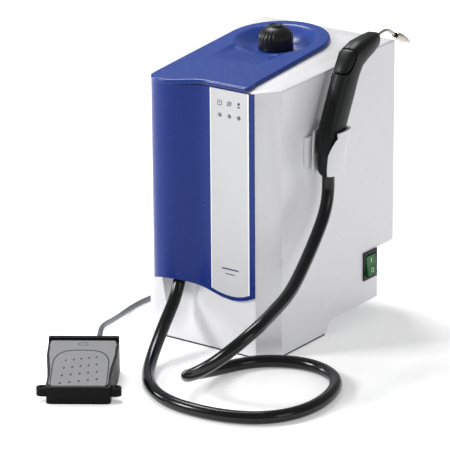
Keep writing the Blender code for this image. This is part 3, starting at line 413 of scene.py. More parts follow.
@dataclass(frozen=True)
class PedalPlate(Moulding):
    """The pedal's moulding: an arched line round the tread, rows of dimples and a small oval seat."""

    turn: float = 0.0
    origin: Point = (0.0, 0.0, 0.0)
    slant: float = 0.20
    pitch: float = 0.0162
    column: float = 0.0108
    dimple: float = 0.0014
    arch_half: float = 0.0335
    arch_reach: float = 0.034
    seat_y: float = 0.0415

    def marks(self, graph: Graph) -> tuple[Signal | None, tuple[float, float, float]]:
        """The arch, the dimples and the oval in the pedal's own plan.

        Args:
            graph: the finish's material.

        Returns:
            Where the marks are, and their colour.
        """
        across, along, _ = graph.axes(graph.place(self.turn, self.origin))
        reach = (along + 0.006).at_least(0.0)
        shape = (abs(across) / self.arch_half) ** 3.4 + (reach / self.arch_reach) ** 2.4
        arch = shape.between(0.93, 1.07) * (along < 0.032)
        rows = along - across * self.slant
        spread = across / (1.0 - (along + 0.040) * 3.4)
        side, row = spread.to_nearest(self.column), (rows + 0.0070).to_nearest(self.pitch)
        dimples = ((side * side + row * row * 0.45) < self.dimple ** 2) * (abs(spread) < 0.027)
        dimples = dimples * rows.between(-0.0475, 0.0140)
        oval = (across / 0.0066) ** 2.0 + ((along - self.seat_y) / 0.0042) ** 2.0
        seat = oval.between(0.45, 1.0)
        return arch + dimples + seat * 0.5, (0.008, 0.008, 0.009)


FOOT_PLACE, FOOT_TURN = (-0.039, -0.331), math.radians(34)
FOOT_ORIGIN = (ORIGIN.x + FOOT_PLACE[0], ORIGIN.y + FOOT_PLACE[1], 0.0)

HOUSING_WHITE = Moulding("housing_white", "white_plastic", (0.80, 0.80, 0.825), 0.30, 900.0, 0.000004,
                         0.015, 0.25)
HOLDER_WHITE = Moulding("holder_white", "white_plastic", (0.78, 0.78, 0.80), 0.38, 1200.0, 0.000006, 0.02)
COVER_BLUE = LippedCover("cover_blue", "top_blue", (0.014, 0.046, 0.255), 0.25, 1500.0, 0.000002, 0.04,
                         specular=0.35)
FACIA_BLUE = Moulding("facia_blue", "deep_blue", (0.008, 0.028, 0.200), 0.26, 1500.0, 0.000004, 0.05,
                      specular=0.22)
LABEL = LabelPrint("label_print", "label_grey", (0.585, 0.59, 0.60), 0.45, 1800.0, 0.000005, 0.03)
INK = Moulding("label_ink", "deep_blue", (0.015, 0.020, 0.110), 0.5, 1800.0, 0.00001, 0.02)
BLACK = Moulding("grip_black", "black_plastic", (0.007, 0.0075, 0.008), 0.40, 1100.0, 0.00005, 0.12,
                 specular=0.22)
CAP_BLACK = Moulding("cap_black", "black_plastic", (0.007, 0.007, 0.008), 0.36, 1100.0, 0.00005, 0.12,
                     specular=0.32)
FOOT_BLACK = Moulding("foot_black", "black_plastic", (0.003, 0.003, 0.003), 0.42, 900.0, 0.00005, 0.12,
                      specular=0.10)
RUBBER = Moulding("hose_rubber", "black_rubber", (0.003, 0.003, 0.0035), 0.20, 500.0, 0.00001, 0.15,
                  specular=0.36)
SEAL_RUBBER = Moulding("seal_rubber", "black_rubber", (0.009, 0.009, 0.010), 0.55, 800.0, 0.00004, 0.1,
                       specular=0.3)
PEDAL_GREY = PedalPlate("pedal_grey", "pedal_grey", (0.215, 0.215, 0.225), 0.55, 1500.0, 0.00008, 0.05,
                        specular=0.3,
                        turn=FOOT_TURN, origin=FOOT_ORIGIN)
CABLE_GREY = Moulding("cable_grey", "cable_grey", (0.085, 0.090, 0.098), 0.42, 700.0, 0.00003, 0.08)
ROCKER_GREEN = Moulding("rocker_green", "rocker_green", (0.004, 0.135, 0.016), 0.16, 900.0, 0.000003, 0.2,
                        0.1,
                        0.10, specular=0.3)
MARK_WHITE = Moulding("mark_white", "white_plastic", (0.80, 0.86, 0.80), 0.4, 900.0, 0.00001, 0.02)
SMOKED = Moulding("smoked_lens", "lens", (0.20, 0.21, 0.22), 0.14, 900.0, 0.00001, 0.1, 0.6, 0.2)
BOARD_GREEN = Moulding("board_green", "board_green", (0.02, 0.16, 0.06), 0.5, 400.0, 0.00005, 0.15)
JACKET = Moulding("jacket_wool", "insulation", (0.52, 0.44, 0.28), 0.9, 260.0, 0.0008, 0.2)
STEEL = Metal("nozzle_steel", "steel", (0.54, 0.49, 0.42), 0.26)
SHEET_STEEL = Metal("sheet_zinc", "zinc", (0.56, 0.57, 0.59), 0.38, (12.0, 1.0, 1.0))
BRASS = Metal("turned_brass", "brass", (0.70, 0.52, 0.26), 0.30)


# ---- making pieces -----------------------------------------------------------------------------------
def settle(piece: bpy.types.Object, finish: Moulding | Metal, body: Body,
           replaced: Iterable[str] = ()) -> None:
    """Give a new piece its finish, its body and the CAD nodes that it stands for.

    Args:
        piece: the object.
        finish: what its surface is.
        body: the body that it rides on.
        replaced: names of CAD nodes.
    """
    piece.data.materials.clear()
    piece.data.materials.append(finish.material())
    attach(piece, body.value)
    if replaced:
        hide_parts(*replaced)
    log.info("%s rides on %s", piece.name, body.value)


def shape_piece(name: str, bm: bmesh.types.BMesh, finish: Moulding | Metal, body: Body,
                replaced: Iterable[str] = (), bevel: float = 0.0, corner: float = 35.0) -> bpy.types.Object:
    """Make a piece from a bmesh drawn in the cabinet's frame.

    Args:
        name: the piece's name.
        bm: its shape, which is used up.
        finish: what its surface is.
        body: the body that it rides on.
        replaced: names of CAD nodes that it stands for.
        bevel: width of its rounded edges, in metres.
        corner: angle in degrees past which an edge shows.

    Returns:
        The object.
    """
    bmesh.ops.remove_doubles(bm, verts=bm.verts, dist=1e-6)
    bmesh.ops.recalc_face_normals(bm, faces=bm.faces)
    bmesh.ops.translate(bm, verts=bm.verts, vec=ORIGIN)
    return wrap_up(name, bm, finish, body, replaced, bevel, corner)


def wrap_up(name: str, bm: bmesh.types.BMesh, finish: Moulding | Metal, body: Body, replaced: Iterable[str],
            bevel: float, corner: float) -> bpy.types.Object:
    """Turn a bmesh in the row frame into a settled piece.

    Args:
        name: the piece's name.
        bm: its shape, which is used up.
        finish: its material.
        body: the body that it rides on.
        replaced: the CAD nodes that it stands for.
        bevel: the width of its rounded edges, or 0.
        corner: the angle in degrees past which an edge is sharp.

    Returns:
        The piece.
    """
    mesh = bpy.data.meshes.new(name)
    bm.to_mesh(mesh)
    bm.free()
    mesh.shade_smooth()
    mesh.set_sharp_from_angle(angle=math.radians(corner))
    piece = bpy.data.objects.new(name, mesh)
    bpy.context.collection.objects.link(piece)
    if bevel:
        rounding = piece.modifiers.new("rounded_edges", "BEVEL")
        rounding.width = bevel
        rounding.segments = 3
        rounding.limit_method = "ANGLE"
        rounding.angle_limit = math.radians(corner)
        rounding.harden_normals = True
    settle(piece, finish, body, replaced)
    return piece


def refine(node: str, finish: Moulding | Metal, body: Body, bevel: float = 0.0005, corner: float = 32.0,
           flat: float = 0.6) -> bpy.types.Object:
    """Make a finer piece over a CAD node: its faces merged, its edges rounded and its curves smooth.

    Args:
        node: the CAD node.
        finish: what its surface is.
        body: the body that it rides on.
        bevel: width of its rounded edges, in metres.
        corner: angle in degrees past which an edge is rounded.
        flat: angle in degrees under which neighbouring faces become one.

    Returns:
        The object.
    """
    bm = bmesh.new()
    bm.from_mesh(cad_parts[node].data)
    bmesh.ops.remove_doubles(bm, verts=bm.verts, dist=0.00001)
    bmesh.ops.dissolve_limit(bm, angle_limit=math.radians(flat), verts=bm.verts, edges=bm.edges)
    return wrap_up(node + "_skin", bm, finish, body, [node], bevel, corner)


def dress(nodes: Iterable[str], finish: Moulding | Metal) -> None:
    """Give CAD nodes that keep their shape a finish.

    Args:
        nodes: their names.
        finish: what their surface is.
    """
    for node in nodes:
        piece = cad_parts[node]
        piece.data.materials.clear()
        piece.data.materials.append(finish.material())
        log.info("%s keeps its shape", node)


def turned(profile: Sequence[tuple[float, float]], segments: int = 64) -> bmesh.types.BMesh:
    """Spin a profile of (radius, z) points about Z.

    Args:
        profile: the points; a first or last radius of 0 makes a pole, else the profile closes on itself.
        segments: steps in a full turn.

    Returns:
        The shape.
    """
    bm = bmesh.new()
    verts = [bm.verts.new((radius, 0.0, z)) for radius, z in profile]
    edges = [bm.edges.new(pair) for pair in zip(verts, verts[1:])]
    if profile[0][0] > 0 or profile[-1][0] > 0:
        edges.append(bm.edges.new((verts[-1], verts[0])))
    bmesh.ops.spin(bm, geom=verts + edges, cent=(0, 0, 0), axis=(0, 0, 1), angle=math.tau, steps=segments,
                   use_merge=True, use_duplicate=False)
    return bm


def slab(outline: Sequence[tuple[float, float]], low: float, high: float,
         spot: Callable[[float, float, float], Point]) -> bmesh.types.BMesh:
    """Push a flat outline along an axis.

    Args:
        outline: points (u, v).
        low: where it starts.
        high: where it ends.
        spot: turns u, v and the position along the axis into a point.

    Returns:
        The shape.
    """
    bm = bmesh.new()
    face = bm.faces.new([bm.verts.new(spot(u, v, low)) for u, v in outline])
    pushed = bmesh.ops.extrude_face_region(bm, geom=[face])
    ends = [item for item in pushed["geom"] if isinstance(item, bmesh.types.BMVert)]
    bmesh.ops.translate(bm, verts=ends, vec=Vector(spot(0, 0, high)) - Vector(spot(0, 0, low)))
    return bm


def merged(shapes: Iterable[bmesh.types.BMesh]) -> bmesh.types.BMesh:
    """Several shapes as one.

    Args:
        shapes: the shapes, which are used up.

    Returns:
        One shape that holds them all.
    """
    whole = bmesh.new()
    for shape in shapes:
        mesh = bpy.data.meshes.new("part_of_one")
        shape.to_mesh(mesh)
        shape.free()
        whole.from_mesh(mesh)
        bpy.data.meshes.remove(mesh)
    return whole


def disc_outline(radius_u: float, radius_v: float, middle: tuple[float, float], count: int = 24) -> list:
    """Points of an ellipse."""
    return [(middle[0] + radius_u * math.cos(a), middle[1] + radius_v * math.sin(a))
            for a in np.linspace(0, math.tau, count, endpoint=False)]


def smooth_route(points: Sequence[Point], spacing: float) -> list[Point]:
    """Points read from a natural cubic curve through a route.

    Args:
        points: the route.
        spacing: distance between the points read.

    Returns:
        The points.
    """
    route = np.array(points)
    knots = np.concatenate(([0.0], np.cumsum(np.linalg.norm(np.diff(route, axis=0), axis=1))))
    step = np.diff(knots)
    count = len(route)
    system = np.eye(count)
    right = np.zeros((count, 3))
    for i in range(1, count - 1):
        system[i, i - 1], system[i, i], system[i, i + 1] = step[i - 1], 2 * (step[i - 1] + step[i]), step[i]
        right[i] = 6 * ((route[i + 1] - route[i]) / step[i] - (route[i] - route[i - 1]) / step[i - 1])
    bend = np.linalg.solve(system, right)
    read = []
    for t in np.linspace(0.0, knots[-1], max(2, round(knots[-1] / spacing)) + 1):
        i = min(int(np.searchsorted(knots, t, side="right")) - 1, count - 2)
        after, before, h = t - knots[i], knots[i + 1] - t, step[i]
        read.append(tuple((bend[i] * before**3 + bend[i + 1] * after**3) / (6 * h)
                          + (route[i] / h - bend[i] * h / 6) * before
                          + (route[i + 1] / h - bend[i + 1] * h / 6) * after))
    return read


def tube(name: str, points: Sequence[Point], diameter: float, sides: int = 6) -> bpy.types.Object:
    """A round bar along points of the cabinet's frame, as a curve.

    Args:
        name: the piece's name.
        points: its centre line.
        diameter: its thickness.
        sides: the bevel's resolution.

    Returns:
        The object, not yet settled.
    """
    curve = bpy.data.curves.new(name, "CURVE")
    curve.dimensions = "3D"
    curve.bevel_depth = diameter / 2
    curve.bevel_resolution = sides
    curve.use_fill_caps = True
    spline = curve.splines.new("POLY")
    spline.points.add(len(points) - 1)
    for point, place in zip(spline.points, points):
        point.co = (*(Vector(place) + ORIGIN), 1.0)
    spline.use_smooth = True
    piece = bpy.data.objects.new(name, curve)
    bpy.context.collection.objects.link(piece)
    return piece


# ---- studio ------------------------------------------------------------------------------------------
@dataclass
class Studio:
    """Camera, floor and soft light."""

    eye: Point = (2.1896, -3.1083, 1.4222)
    right: Point = (0.8108, 0.5853, -0.0071)
    up: Point = (-0.1842, 0.2666, 0.9460)
    lens_mm: float = 256.46
    floor_half: float = 6.0
    lamps: tuple = (
        ("key", (-1.9, -2.1, 1.9), 0.8, 62.0),
        ("side", (2.4, -0.6, 1.0), 1.0, 7.0),
        ("edge", (-2.4, -0.7, 0.7), 0.5, 16.0),
        ("top", (-0.9, 0.5, 2.0), 0.9, 36.0),
    )

    def build(self) -> None:
        """Place the camera, then the floor, the lamps and the world."""
        self.camera()
        bm = bmesh.new()
        bmesh.ops.create_grid(bm, x_segments=1, y_segments=1, size=self.floor_half)
        mesh = bpy.data.meshes.new("floor")
        bm.to_mesh(mesh)
        bm.free()
        floor = bpy.data.objects.new("floor", mesh)
        bpy.context.collection.objects.link(floor)
        floor.location.z = -0.0003
        graph = Graph("floor_paper")
        cloud = graph.noise(graph.place(), 3.0, 3.0)
        graph.feed(graph.shader.inputs["Base Color"],
                   graph.mix(cloud, (0.97, 0.97, 0.97, 1), (0.99, 0.99, 0.99, 1)))
        graph.shader.inputs["Roughness"].default_value = 0.9
        graph.shader.inputs["Specular IOR Level"].default_value = 0.1
        graph.shader.inputs["Emission Color"].default_value = (1.0, 1.0, 1.0, 1.0)
        graph.shader.inputs["Emission Strength"].default_value = 0.30
        mesh.materials.append(graph.material)
        for name, place, size, power in self.lamps:
            self.lamp(name, Vector(place) + ORIGIN, size, power)
        world = bpy.data.worlds.new("white_room")
        world.use_nodes = True
        world.node_tree.nodes["Background"].inputs["Color"].default_value = (1.0, 1.0, 1.0, 1.0)
        world.node_tree.nodes["Background"].inputs["Strength"].default_value = 0.31
        bpy.context.scene.world = world
        bpy.context.scene.view_settings.view_transform = "Standard"
        bpy.context.scene.view_settings.look = "None"

    def camera(self) -> None:
        """Place the camera."""
        side, up = Vector(self.right).normalized(), Vector(self.up).normalized()
        back = side.cross(up)
        data = bpy.data.cameras.new("camera")
        data.lens = self.lens_mm
        data.sensor_width = 36.0
        camera = bpy.data.objects.new("camera", data)
        bpy.context.collection.objects.link(camera)
        turn = Matrix((side, up, back)).transposed().to_4x4()
        camera.matrix_world = Matrix.Translation(Vector(self.eye) + ORIGIN) @ turn
        bpy.context.scene.camera = camera

    def lamp(self, name: str, place: Vector, size: float, power: float) -> None:
        """Place one area lamp that looks at the cabinet.

        Args:
            name: its name.
            place: where it hangs.
            size: its side, in metres.
            power: in watts.
        """
        data = bpy.data.lights.new(name, "AREA")
        data.size = size
        data.energy = power
        lamp = bpy.data.objects.new(name, data)
        bpy.context.collection.objects.link(lamp)
        lamp.location = place
        lamp.rotation_euler = (ORIGIN + Vector((0, 0, 0.15)) - place).to_track_quat("-Z", "Y").to_euler()


# ---- cords -------------------------------------------------------------------------------------------
@dataclass
class Cords:
    """The steam hose and the foot switch's cable."""

    hose_diameter: float = 0.0156
    cable_diameter: float = 0.007
    coil_place: tuple[float, float] = (-0.060, 0.203)
    hose_route: list[Point] = field(default_factory=lambda: [
        (-0.036, -0.131, 0.101), (-0.034, -0.141, 0.0795), (-0.031, -0.155, 0.061), (-0.027, -0.175, 0.045),
        (-0.016, -0.213, 0.022), (0.009, -0.262, 0.0085), (0.036, -0.293, 0.0079), (0.063, -0.312, 0.0079),
        (0.096, -0.323, 0.0079), (0.137, -0.324, 0.0079), (0.176, -0.315, 0.0079), (0.203, -0.299, 0.0079),
        (0.223, -0.272, 0.0079), (0.231, -0.241, 0.0079), (0.230, -0.210, 0.0079), (0.222, -0.180, 0.0079),
        (0.203, -0.150, 0.0079), (0.179, -0.135, 0.0079), (0.145, -0.131, 0.0079), (0.118, -0.140, 0.0079),
        (0.092, -0.161, 0.0079), (0.077, -0.190, 0.0081), (0.0725, -0.222, 0.012), (0.0735, -0.255, 0.019),
        (0.082, -0.282, 0.027), (0.104, -0.299, 0.040), (0.131, -0.300, 0.058), (0.153, -0.284, 0.079),
        (0.163, -0.255, 0.095), (0.160, -0.218, 0.103), (0.152, -0.172, 0.112), (0.140, -0.122, 0.132),
        (0.129, -0.077, 0.158), (0.1235, -0.050, 0.188), (0.122, -0.045, 0.205), (0.122, -0.045, 0.2206),
    ])
    cable_route: list[Point] = field(default_factory=lambda: [
        (-0.0657, -0.2610, 0.0349), (-0.0812, -0.2380, 0.0358), (-0.104, -0.197, 0.027),
        (-0.129, -0.147, 0.013), (-0.148, -0.100, 0.0045), (-0.1535, -0.065, 0.0036),
        (-0.152, -0.030, 0.0036), (-0.150, 0.010, 0.0036),
        (-0.149, 0.055, 0.0036), (-0.146, 0.098, 0.0036), (-0.138, 0.138, 0.0036), (-0.124, 0.175, 0.0036),
        (-0.1105, 0.196, 0.0036),
    ])
    tail_route: list[Point] = field(default_factory=lambda: [
        (-0.0098, 0.2030, 0.0105), (-0.0105, 0.1860, 0.0175), (-0.0145, 0.1730, 0.030),
        (-0.0220, 0.1610, 0.043),
        (-0.0300, 0.1500, 0.0495), (-0.0320, 0.1420, 0.050), (-0.0320, 0.1334, 0.050),
    ])

    def build(self) -> None:
        """Make both cords."""
        hose_line = smooth_route(self.hose_route, 0.004)
        hose = tube("steam_hose_skin", hose_line, self.hose_diameter, 10)
        settle(hose, RUBBER, Body.ROOT, ["steam_hose"])
        self.world(self.hose_route[0])
        plug = refine("foot_plug", BLACK, Body.ROOT, 0.0004)
        cable_line = smooth_route(self.cable_route + self.coil() + self.tail_route, 0.003)
        cable = tube("foot_cable_skin", cable_line, self.cable_diameter, 4)
        settle(cable, CABLE_GREY, Body.ROOT, ["foot_cable", "foot_cable_coil", "foot_cable_tail"])
        self.world(self.cable_route[0])

    def world(self, place: Point) -> tuple[float, float, float]:
        """A point of the cabinet's frame in the row frame."""
        return tuple(Vector(place) + ORIGIN)

    def coil(self) -> list[Point]:
        """Two layers of two turns, wound outside in below and inside out above.

        Returns:
            Points along the turns.
        """
        outer, inner, low, high = 0.0423, 0.0352, 0.0036, 0.0106
        laps = [0.0, 0.22, 1.0, 1.25, 1.85, 2.1, 2.55, 2.8, 3.35, 3.52]
        radii = [0.0480, outer, outer, inner, inner, inner, inner, outer, outer, 0.0480]
        heights = [low, low, low, low, low, high, high, high, high, high]
        start = math.radians(184)
        points = []
        for lap in np.linspace(0.03, 3.49, 62):
            angle = start - lap * math.tau
            radius, height = np.interp(lap, laps, radii), np.interp(lap, laps, heights)
            points.append((self.coil_place[0] + radius * math.cos(angle),
                           self.coil_place[1] + radius * math.sin(angle), float(height)))
        return points


# ---- cabinet -----------------------------------------------------------------------------------------
@dataclass
class Cabinet:
    """The white shell, what it stands on and the panel at its back."""

    edge: float = 0.0011

    def build(self) -> None:
        """Refine the outer pieces and dress the inner ones."""
        refine("housing", HOUSING_WHITE, Body.ROOT, self.edge, 38.0, 0.05)
        refine("connector_panel", HOUSING_WHITE, Body.ROOT, 0.0006)
        refine("edge_trim", SEAL_RUBBER, Body.ROOT, 0.0004)
        for foot in ("rear_foot_left", "rear_foot_right"):
            refine(foot, SEAL_RUBBER, Body.ROOT, 0.0008)
        refine("base_tray", SHEET_STEEL, Body.ROOT, 0.0003)
        dress(["indicator_board", "control_board"], BOARD_GREEN)
        dress(["boiler", "heating_element", "level_probe", "steam_pipe", "outlet_pipe"], STEEL)
        dress(["boiler_stand"], SHEET_STEEL)
        dress(["boiler_jacket"], JACKET)
        dress(["drain_plug", "safety_valve", "solenoid_valve", "hose_gland"], BRASS)
        dress(["pressure_switch", "overheat_switch", "solenoid_coil", "switch_body"], BLACK)


@dataclass
class Facia:
    """The blue front with its overlay, its print and the light guide."""

    lens_x: tuple[float, float, float] = (0.028, 0.042, 0.056)
    icon_z: float = 0.3195
    face_y: float = -0.1384
    ink_depth: float = 0.0001

    def build(self) -> None:
        """Make the front, the overlay and its small signs."""
        refine("facia", FACIA_BLUE, Body.ROOT, 0.0006, 40.0, 0.05)
        refine("label_plate", LABEL, Body.ROOT, 0.0002)
        refine("light_guide", SMOKED, Body.ROOT, 0.0, 25.0)
        shape_piece("label_signs", merged(self.signs()), INK, Body.ROOT)

    def flat(self, u: float, v: float, w: float) -> Point:
        """A point on the overlay, w in front of it."""
        return (u, self.face_y - w, v)

    def bar(self, outline: Sequence[tuple[float, float]]) -> bmesh.types.BMesh:
        """A printed patch."""
        return slab(outline, -0.00005, self.ink_depth, self.flat)

    def signs(self) -> list[bmesh.types.BMesh]:
        """Signs for water, heating and steam, and two plain bars at the foot.

        Returns:
            Their shapes.
        """
        tank_x, heat_x, steam_x = self.lens_x
        half, tall, line = 0.0030, 0.0034, 0.0007
        shapes = []
        for low_u, high_u, low_v, high_v in ((-half, -half + line, -tall, tall),
                                             (half - line, half, -tall, tall),
                                             (-half + line, half - line, -tall, -tall + line),
                                             (-0.0012, 0.0012, 0.0, line),
                                             (-0.0004, 0.0004, 0.0009, 0.0032)):
            shapes.append(self.bar([(tank_x + u, self.icon_z + v) for u, v in
                                    ((low_u, low_v), (high_u, low_v), (high_u, high_v), (low_u, high_v))]))
        for shift in (-0.0022, 0.0, 0.0022):
            shapes.append(self.bar([(heat_x + shift + u, self.icon_z + v) for u, v in
                                    ((-0.0016, -0.0030), (-0.0006, -0.0030), (0.0018, 0.0032),
                                     (0.0006, 0.0032))]))
        shapes.append(self.bar(disc_outline(0.0017, 0.0020, (steam_x, self.icon_z + 0.0020))))
        shapes.append(self.bar(disc_outline(0.0024, 0.0008, (steam_x, self.icon_z - 0.0022))))
        for half_wide, low, high in ((0.0125, 0.1090, 0.1108), (0.0070, 0.1030, 0.1042)):
            shapes.append(self.bar([(0.042 + u, v) for u, v in ((-half_wide, low), (half_wide, low),
                                                                (half_wide, high), (-half_wide, high))]))
        return shapes


@dataclass
class TopCover:
    """The blue cover and the filler in its bowl."""

    seat: tuple[float, float] = (0.0, 0.019)
    base: float = 0.3453
    radius: float = 0.0219
    flutes: int = 22
    flute_depth: float = 0.0007
    half: float = 0.067
    top: float = 0.356
    rise: float = 0.092
    lip: float = 0.005
    soft_edge: float = 0.0026
    bowl_radius: float = 0.0530
    floor_radius: float = 0.0265
    floor_z: float = 0.3450
    hole_radius: float = 0.0150
    wall_power: float = 1.7
    wall_rounding: float = 0.25
    run_place: tuple[float, float] = (-0.078, 0.3489)
    run_slope: float = 0.0175
    run_half: float = 0.0410
    run_side: float = 0.011
    run_start: float = -0.086
    run_lead: float = 0.014
    run_end: float = -0.026
    run_tail: float = 0.020
    joint_sharpness: float = 1600.0
    rib_height: float = 0.0007
    rib_pitch: float = 0.0070
    rib_start: float = -0.071
    rib_fade: float = 0.004
    rib_reach: float = 4.5

    def build(self) -> None:
        """Make the cover, the knob and the pieces of the neck."""
        shape_piece("top_cover_skin", self.cover(), COVER_BLUE, Body.ROOT, ["top_cover"], corner=50.0)
        shape_piece("filler_cap_skin", self.knob(), CAP_BLACK, Body.CAP_KNOB, ["filler_cap"], corner=42.0)
        dress(["filler_neck"], BRASS)
        dress(["neck_grommet"], SEAL_RUBBER)
        dress(["cap_disc"], BRASS)
        dress(["cap_seal"], SEAL_RUBBER)

    def level(self, y: float) -> float:
        """z of the cover's sloping top."""
        return self.top + self.rise * y

    def front(self, x: float) -> float:
        """y of the cover's front edge, which follows the facia's bulge.

        Args:
            x: across the cabinet.

        Returns:
            Its place.
        """
        peak, left, right, bulge, flat = -0.044, -0.071, 0.009, 0.020, -0.1375
        if x <= left or x >= right:
            return flat
        if x < peak:
            return flat - bulge * math.sqrt(1 - ((peak - x) / (peak - left)) ** 2)
        return flat - bulge * (0.5 + 0.5 * math.cos(math.pi * (x - peak) / (right - peak)))

    def outline(self) -> list[tuple[float, float]]:
        """The cover from above, anticlockwise from the front's left end.

        Returns:
            Its points.
        """
        half, back = self.half, self.seat[1]
        edge = [(x, self.front(x) - 0.001) for x in np.linspace(-half + 0.0005, half - 0.001, 70)]
        edge.append((half + 0.0014, -0.1350))
        edge += [(half + (0.0014 if y < -0.12 else 0.0), y) for y in np.linspace(-0.129, back - 0.004, 30)]
        edge += [(half * math.cos(a), back + half * math.sin(a)) for a in np.linspace(0.0, math.pi, 90)]
        return edge + [(-half, y) for y in np.linspace(back - 0.004, -0.1400, 32)]

    def surface(self, x: float, y: float) -> float:
        """z of the cover's top: a bowl, a run down into it and the ribs on the run.

        Args:
            x: across the cabinet.
            y: towards its back.

        Returns:
            The height.
        """
        level = self.level(y)
        reach = math.hypot(x - self.seat[0], y - self.seat[1])
        share = clamp((reach - self.floor_radius) / (self.bowl_radius - self.floor_radius))
        rounding = self.wall_rounding
        wall = share ** self.wall_power * (1.0 - rounding * share * share) / (1.0 - rounding)
        bowl = (level - self.floor_z) * (1.0 - min(1.0, wall))
        run = self.run_place[1] + self.run_slope * (y - self.run_place[0])
        side = clamp((self.run_half - abs(x)) / self.run_side)
        start = clamp((y - self.run_start) / self.run_lead)
        depth = max(0.0, level - run) * ease(side) * ease(start)
        depth *= clamp(1.0 - (y - self.run_end) / self.run_tail)
        sharp = self.joint_sharpness
        sunk = (math.log(math.exp(bowl * sharp) + math.exp(depth * sharp)) - math.log(2.0)) / sharp
        ends = clamp((y - self.rib_start) / self.rib_fade) * clamp((self.run_end - y) / self.rib_fade)
        rib = 0.0
        if abs(x) < self.rib_reach * self.rib_pitch:
            rib = max(0.0, math.cos(math.tau * x / self.rib_pitch)) ** 3 * self.rib_height * ends
        return level - max(0.0, sunk) + rib

    def cover(self) -> bmesh.types.BMesh:
        """The lip with its soft edge, the top drawn inwards to the neck's hole, and the bowl's underside.

        Returns:
            Its shape.
        """
        edge, middle = self.outline(), self.seat

        def inwards(point: tuple[float, float], inset: float, share: float) -> tuple[float, float]:
            """A point moved towards the neck: an inset first, then a share of what is left to the hole.

            Args:
                point: where it starts.
                inset: how far it moves first.
                share: how much of the rest it moves.

            Returns:
                Where it ends.
            """
            away = math.hypot(point[0] - middle[0], point[1] - middle[1])
            reach = away - inset - (away - inset - self.hole_radius) * share
            return (middle[0] + (point[0] - middle[0]) * reach / away,
                    middle[1] + (point[1] - middle[1]) * reach / away)

        rings = [[(x, y, self.level(y) - self.lip) for x, y in edge]]
        for turn in np.linspace(0.0, math.pi / 2, 6):
            inset, drop = self.soft_edge * (1 - math.cos(turn)), self.soft_edge * (1 - math.sin(turn))
            spots = [inwards(point, inset, 0.0) for point in edge]
            rings.append([(x, y, self.level(y) - drop) for x, y in spots])
        for share in np.linspace(0.02, 1.0, 84):
            spots = [inwards(point, self.soft_edge, share) for point in edge]
            rings.append([(x, y, self.surface(x, y)) for x, y in spots])
        spread = [math.atan2(y - middle[1], x - middle[0]) for x, y in edge]
        for radius, height in ((self.hole_radius, 0.3426), (0.029, 0.3426), (0.046, 0.3469),
                               (0.0537, 0.3520)):
            rings.append([(middle[0] + radius * math.cos(a), middle[1] + radius * math.sin(a),
                           min(height, self.level(middle[1] + radius * math.sin(a)) - self.lip))
                          for a in spread])
        bm = bmesh.new()
        loops = [[bm.verts.new(point) for point in ring] for ring in rings]
        for near, far in zip(loops, loops[1:] + loops[:1]):
            for i, first in enumerate(near):
                j = (i + 1) % len(near)
                bm.faces.new((first, near[j], far[j], far[i]))
        return bm

    def knob(self) -> bmesh.types.BMesh:
        """A domed knob, hollow below, with flutes round its shoulder and a dished ring on top.

        Returns:
            Its shape.
        """
        low, r = self.base, self.radius
        dome = [(r * math.cos(a), low + 0.0130 + 0.0170 * math.sin(a)) for a in np.linspace(0.08, 1.10, 14)]
        profile = [(0.0, 0.3658), (0.0044, 0.3658), (0.0044, 0.3618), (0.0128, 0.3618), (0.0128, low),
                   (0.0212, low), (0.0217, low + 0.0004), (r, low + 0.0012), (r, low + 0.0030),
                   (r, low + 0.0060),
                   (r, low + 0.0090), (r, low + 0.0120)] + dome
        profile += [(0.0092, low + 0.0288), (0.0089, low + 0.0298), (0.0082, low + 0.0304),
                    (0.0072, low + 0.0303), (0.0066, low + 0.0296), (0.0058, low + 0.0293),
                    (0.0030, low + 0.0296), (0.0, low + 0.0297)]
        bm = turned(profile, self.flutes * 6)
        for vert in bm.verts:
            reach = math.hypot(vert.co.x, vert.co.y)
            if reach < 0.0130 or vert.co.z < low + 0.0020:
                continue
            share = (vert.co.z - low - 0.004) / 0.014
            fade = max(0.0, min(1.0, share * 1.6)) * max(0.0, min(1.0, (low + 0.0275 - vert.co.z) / 0.004))
            groove = max(0.0, math.cos(math.atan2(vert.co.y, vert.co.x) * self.flutes)) ** 2
            scale = 1 - self.flute_depth * groove * fade / reach
            vert.co.x *= scale
            vert.co.y *= scale
        bmesh.ops.translate(bm, verts=bm.verts, vec=(*self.seat, 0.0))
        return bm


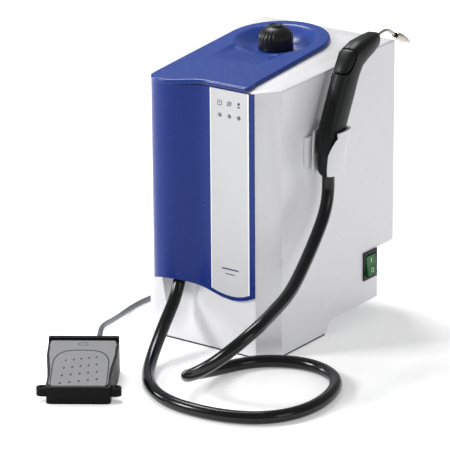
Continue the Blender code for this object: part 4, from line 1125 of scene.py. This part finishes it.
@dataclass
class PowerSwitch:
    """The green rocker, its frame and the connectors at the back."""

    pivot: Point = (0.0985, 0.0805, 0.0645)

    def build(self) -> None:
        """Make the rocker with its marks, and refine the rest."""
        refine("switch_bezel", BLACK, Body.ROOT, 0.0005)
        refine("rocker", ROCKER_GREEN, Body.ROCKER, 0.0009)
        shape_piece("rocker_marks", merged(self.marks()), MARK_WHITE, Body.ROCKER)
        refine("mains_inlet", BLACK, Body.ROOT, 0.0005)
        dress(["inlet_pins"], SHEET_STEEL)
        refine("foot_socket", SHEET_STEEL, Body.ROOT, 0.0003)

    def marks(self) -> list[bmesh.types.BMesh]:
        """A bar on the upper half and a ring on the lower half.

        Returns:
            Their shapes, on the rocker's two faces.
        """
        x, y, z = self.pivot
        upper = math.atan2(0.0043 - 0.0052, 0.0129)
        lower = math.atan2(0.0082 - 0.0052, -0.0123)
        bar = slab([(-0.0007, -0.0030), (0.0007, -0.0030), (0.0007, 0.0030), (-0.0007, 0.0030)], -0.0001,
                   0.00012,
                   lambda u, v, w: (w, u, v))
        bmesh.ops.transform(bar, verts=bar.verts, matrix=Matrix.Translation((x + 0.00478, y, z + 0.0062))
                            @ Matrix.Rotation(upper, 4, "Y"))
        ring = turned([(0.0022, -0.0001), (0.0030, -0.0001), (0.0030, 0.00012), (0.0022, 0.00012)], 32)
        facing = lower - math.pi / 2
        lean = Matrix.Translation((x + 0.00675, y, z - 0.0064)) @ Matrix.Rotation(facing, 4, "Y")
        bmesh.ops.transform(ring, verts=ring.verts, matrix=lean)
        return [bar, ring]


@dataclass
class Handpiece:
    """The holder, the grip with its trigger, and the nozzle."""

    middle: float = 0.122

    def build(self) -> None:
        """Refine each piece of the holder and the handpiece."""
        refine("holder_plate", HOLDER_WHITE, Body.ROOT, 0.0008)
        refine("holder_cup", HOLDER_WHITE, Body.ROOT, 0.0007)
        for shell in ("grip_left", "grip_right"):
            refine(shell, BLACK, Body.HANDPIECE, 0.0004, 42.0, 0.05)
        refine("hose_collar", BLACK, Body.HANDPIECE, 0.0005)
        refine("trigger", BLACK, Body.TRIGGER, 0.0005, 42.0, 0.05)
        refine("nozzle_tube", STEEL, Body.HANDPIECE, 0.0, 60.0)
        refine("nozzle_ring", SEAL_RUBBER, Body.HANDPIECE, 0.0002)
        refine("nozzle_tip", STEEL, Body.HANDPIECE, 0.0003)
        dress(["grip_tube", "trigger_pin"], STEEL)
        dress(["grip_switch"], FOOT_BLACK)


@dataclass
class FootSwitch:
    """The foot switch: tub, pedal, and the small pieces inside."""

    edge: float = 0.0010
    spring_foot: float = 0.0047
    spring_keep: float = 0.74

    def build(self) -> None:
        """Refine the tub, the pedal and the gland."""
        refine("pedal_base", FOOT_BLACK, Body.ROOT, self.edge)
        refine("pedal", PEDAL_GREY, Body.PEDAL, 0.0008)
        refine("foot_gland", SEAL_RUBBER, Body.ROOT, 0.0004)
        spring = refine("pedal_spring", STEEL, Body.ROOT, 0.0, 60.0, 0.05)
        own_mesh(spring)
        dress(["pedal_pin"], STEEL)
        dress(["pedal_switch"], BLACK)


def main() -> None:
    """Build the studio, then the cords, then each sub-assembly."""
    logging.basicConfig(level=logging.INFO, format="%(name)s: %(message)s")
    Studio().build()
    Cords().build()
    for assembly in (Cabinet(), Facia(), TopCover(), PowerSwitch(), Handpiece(), FootSwitch()):
        assembly.build()
        log.info("%s is built", type(assembly).__name__)
    bpy.context.view_layer.update()


if __name__ == "__main__":
    main()
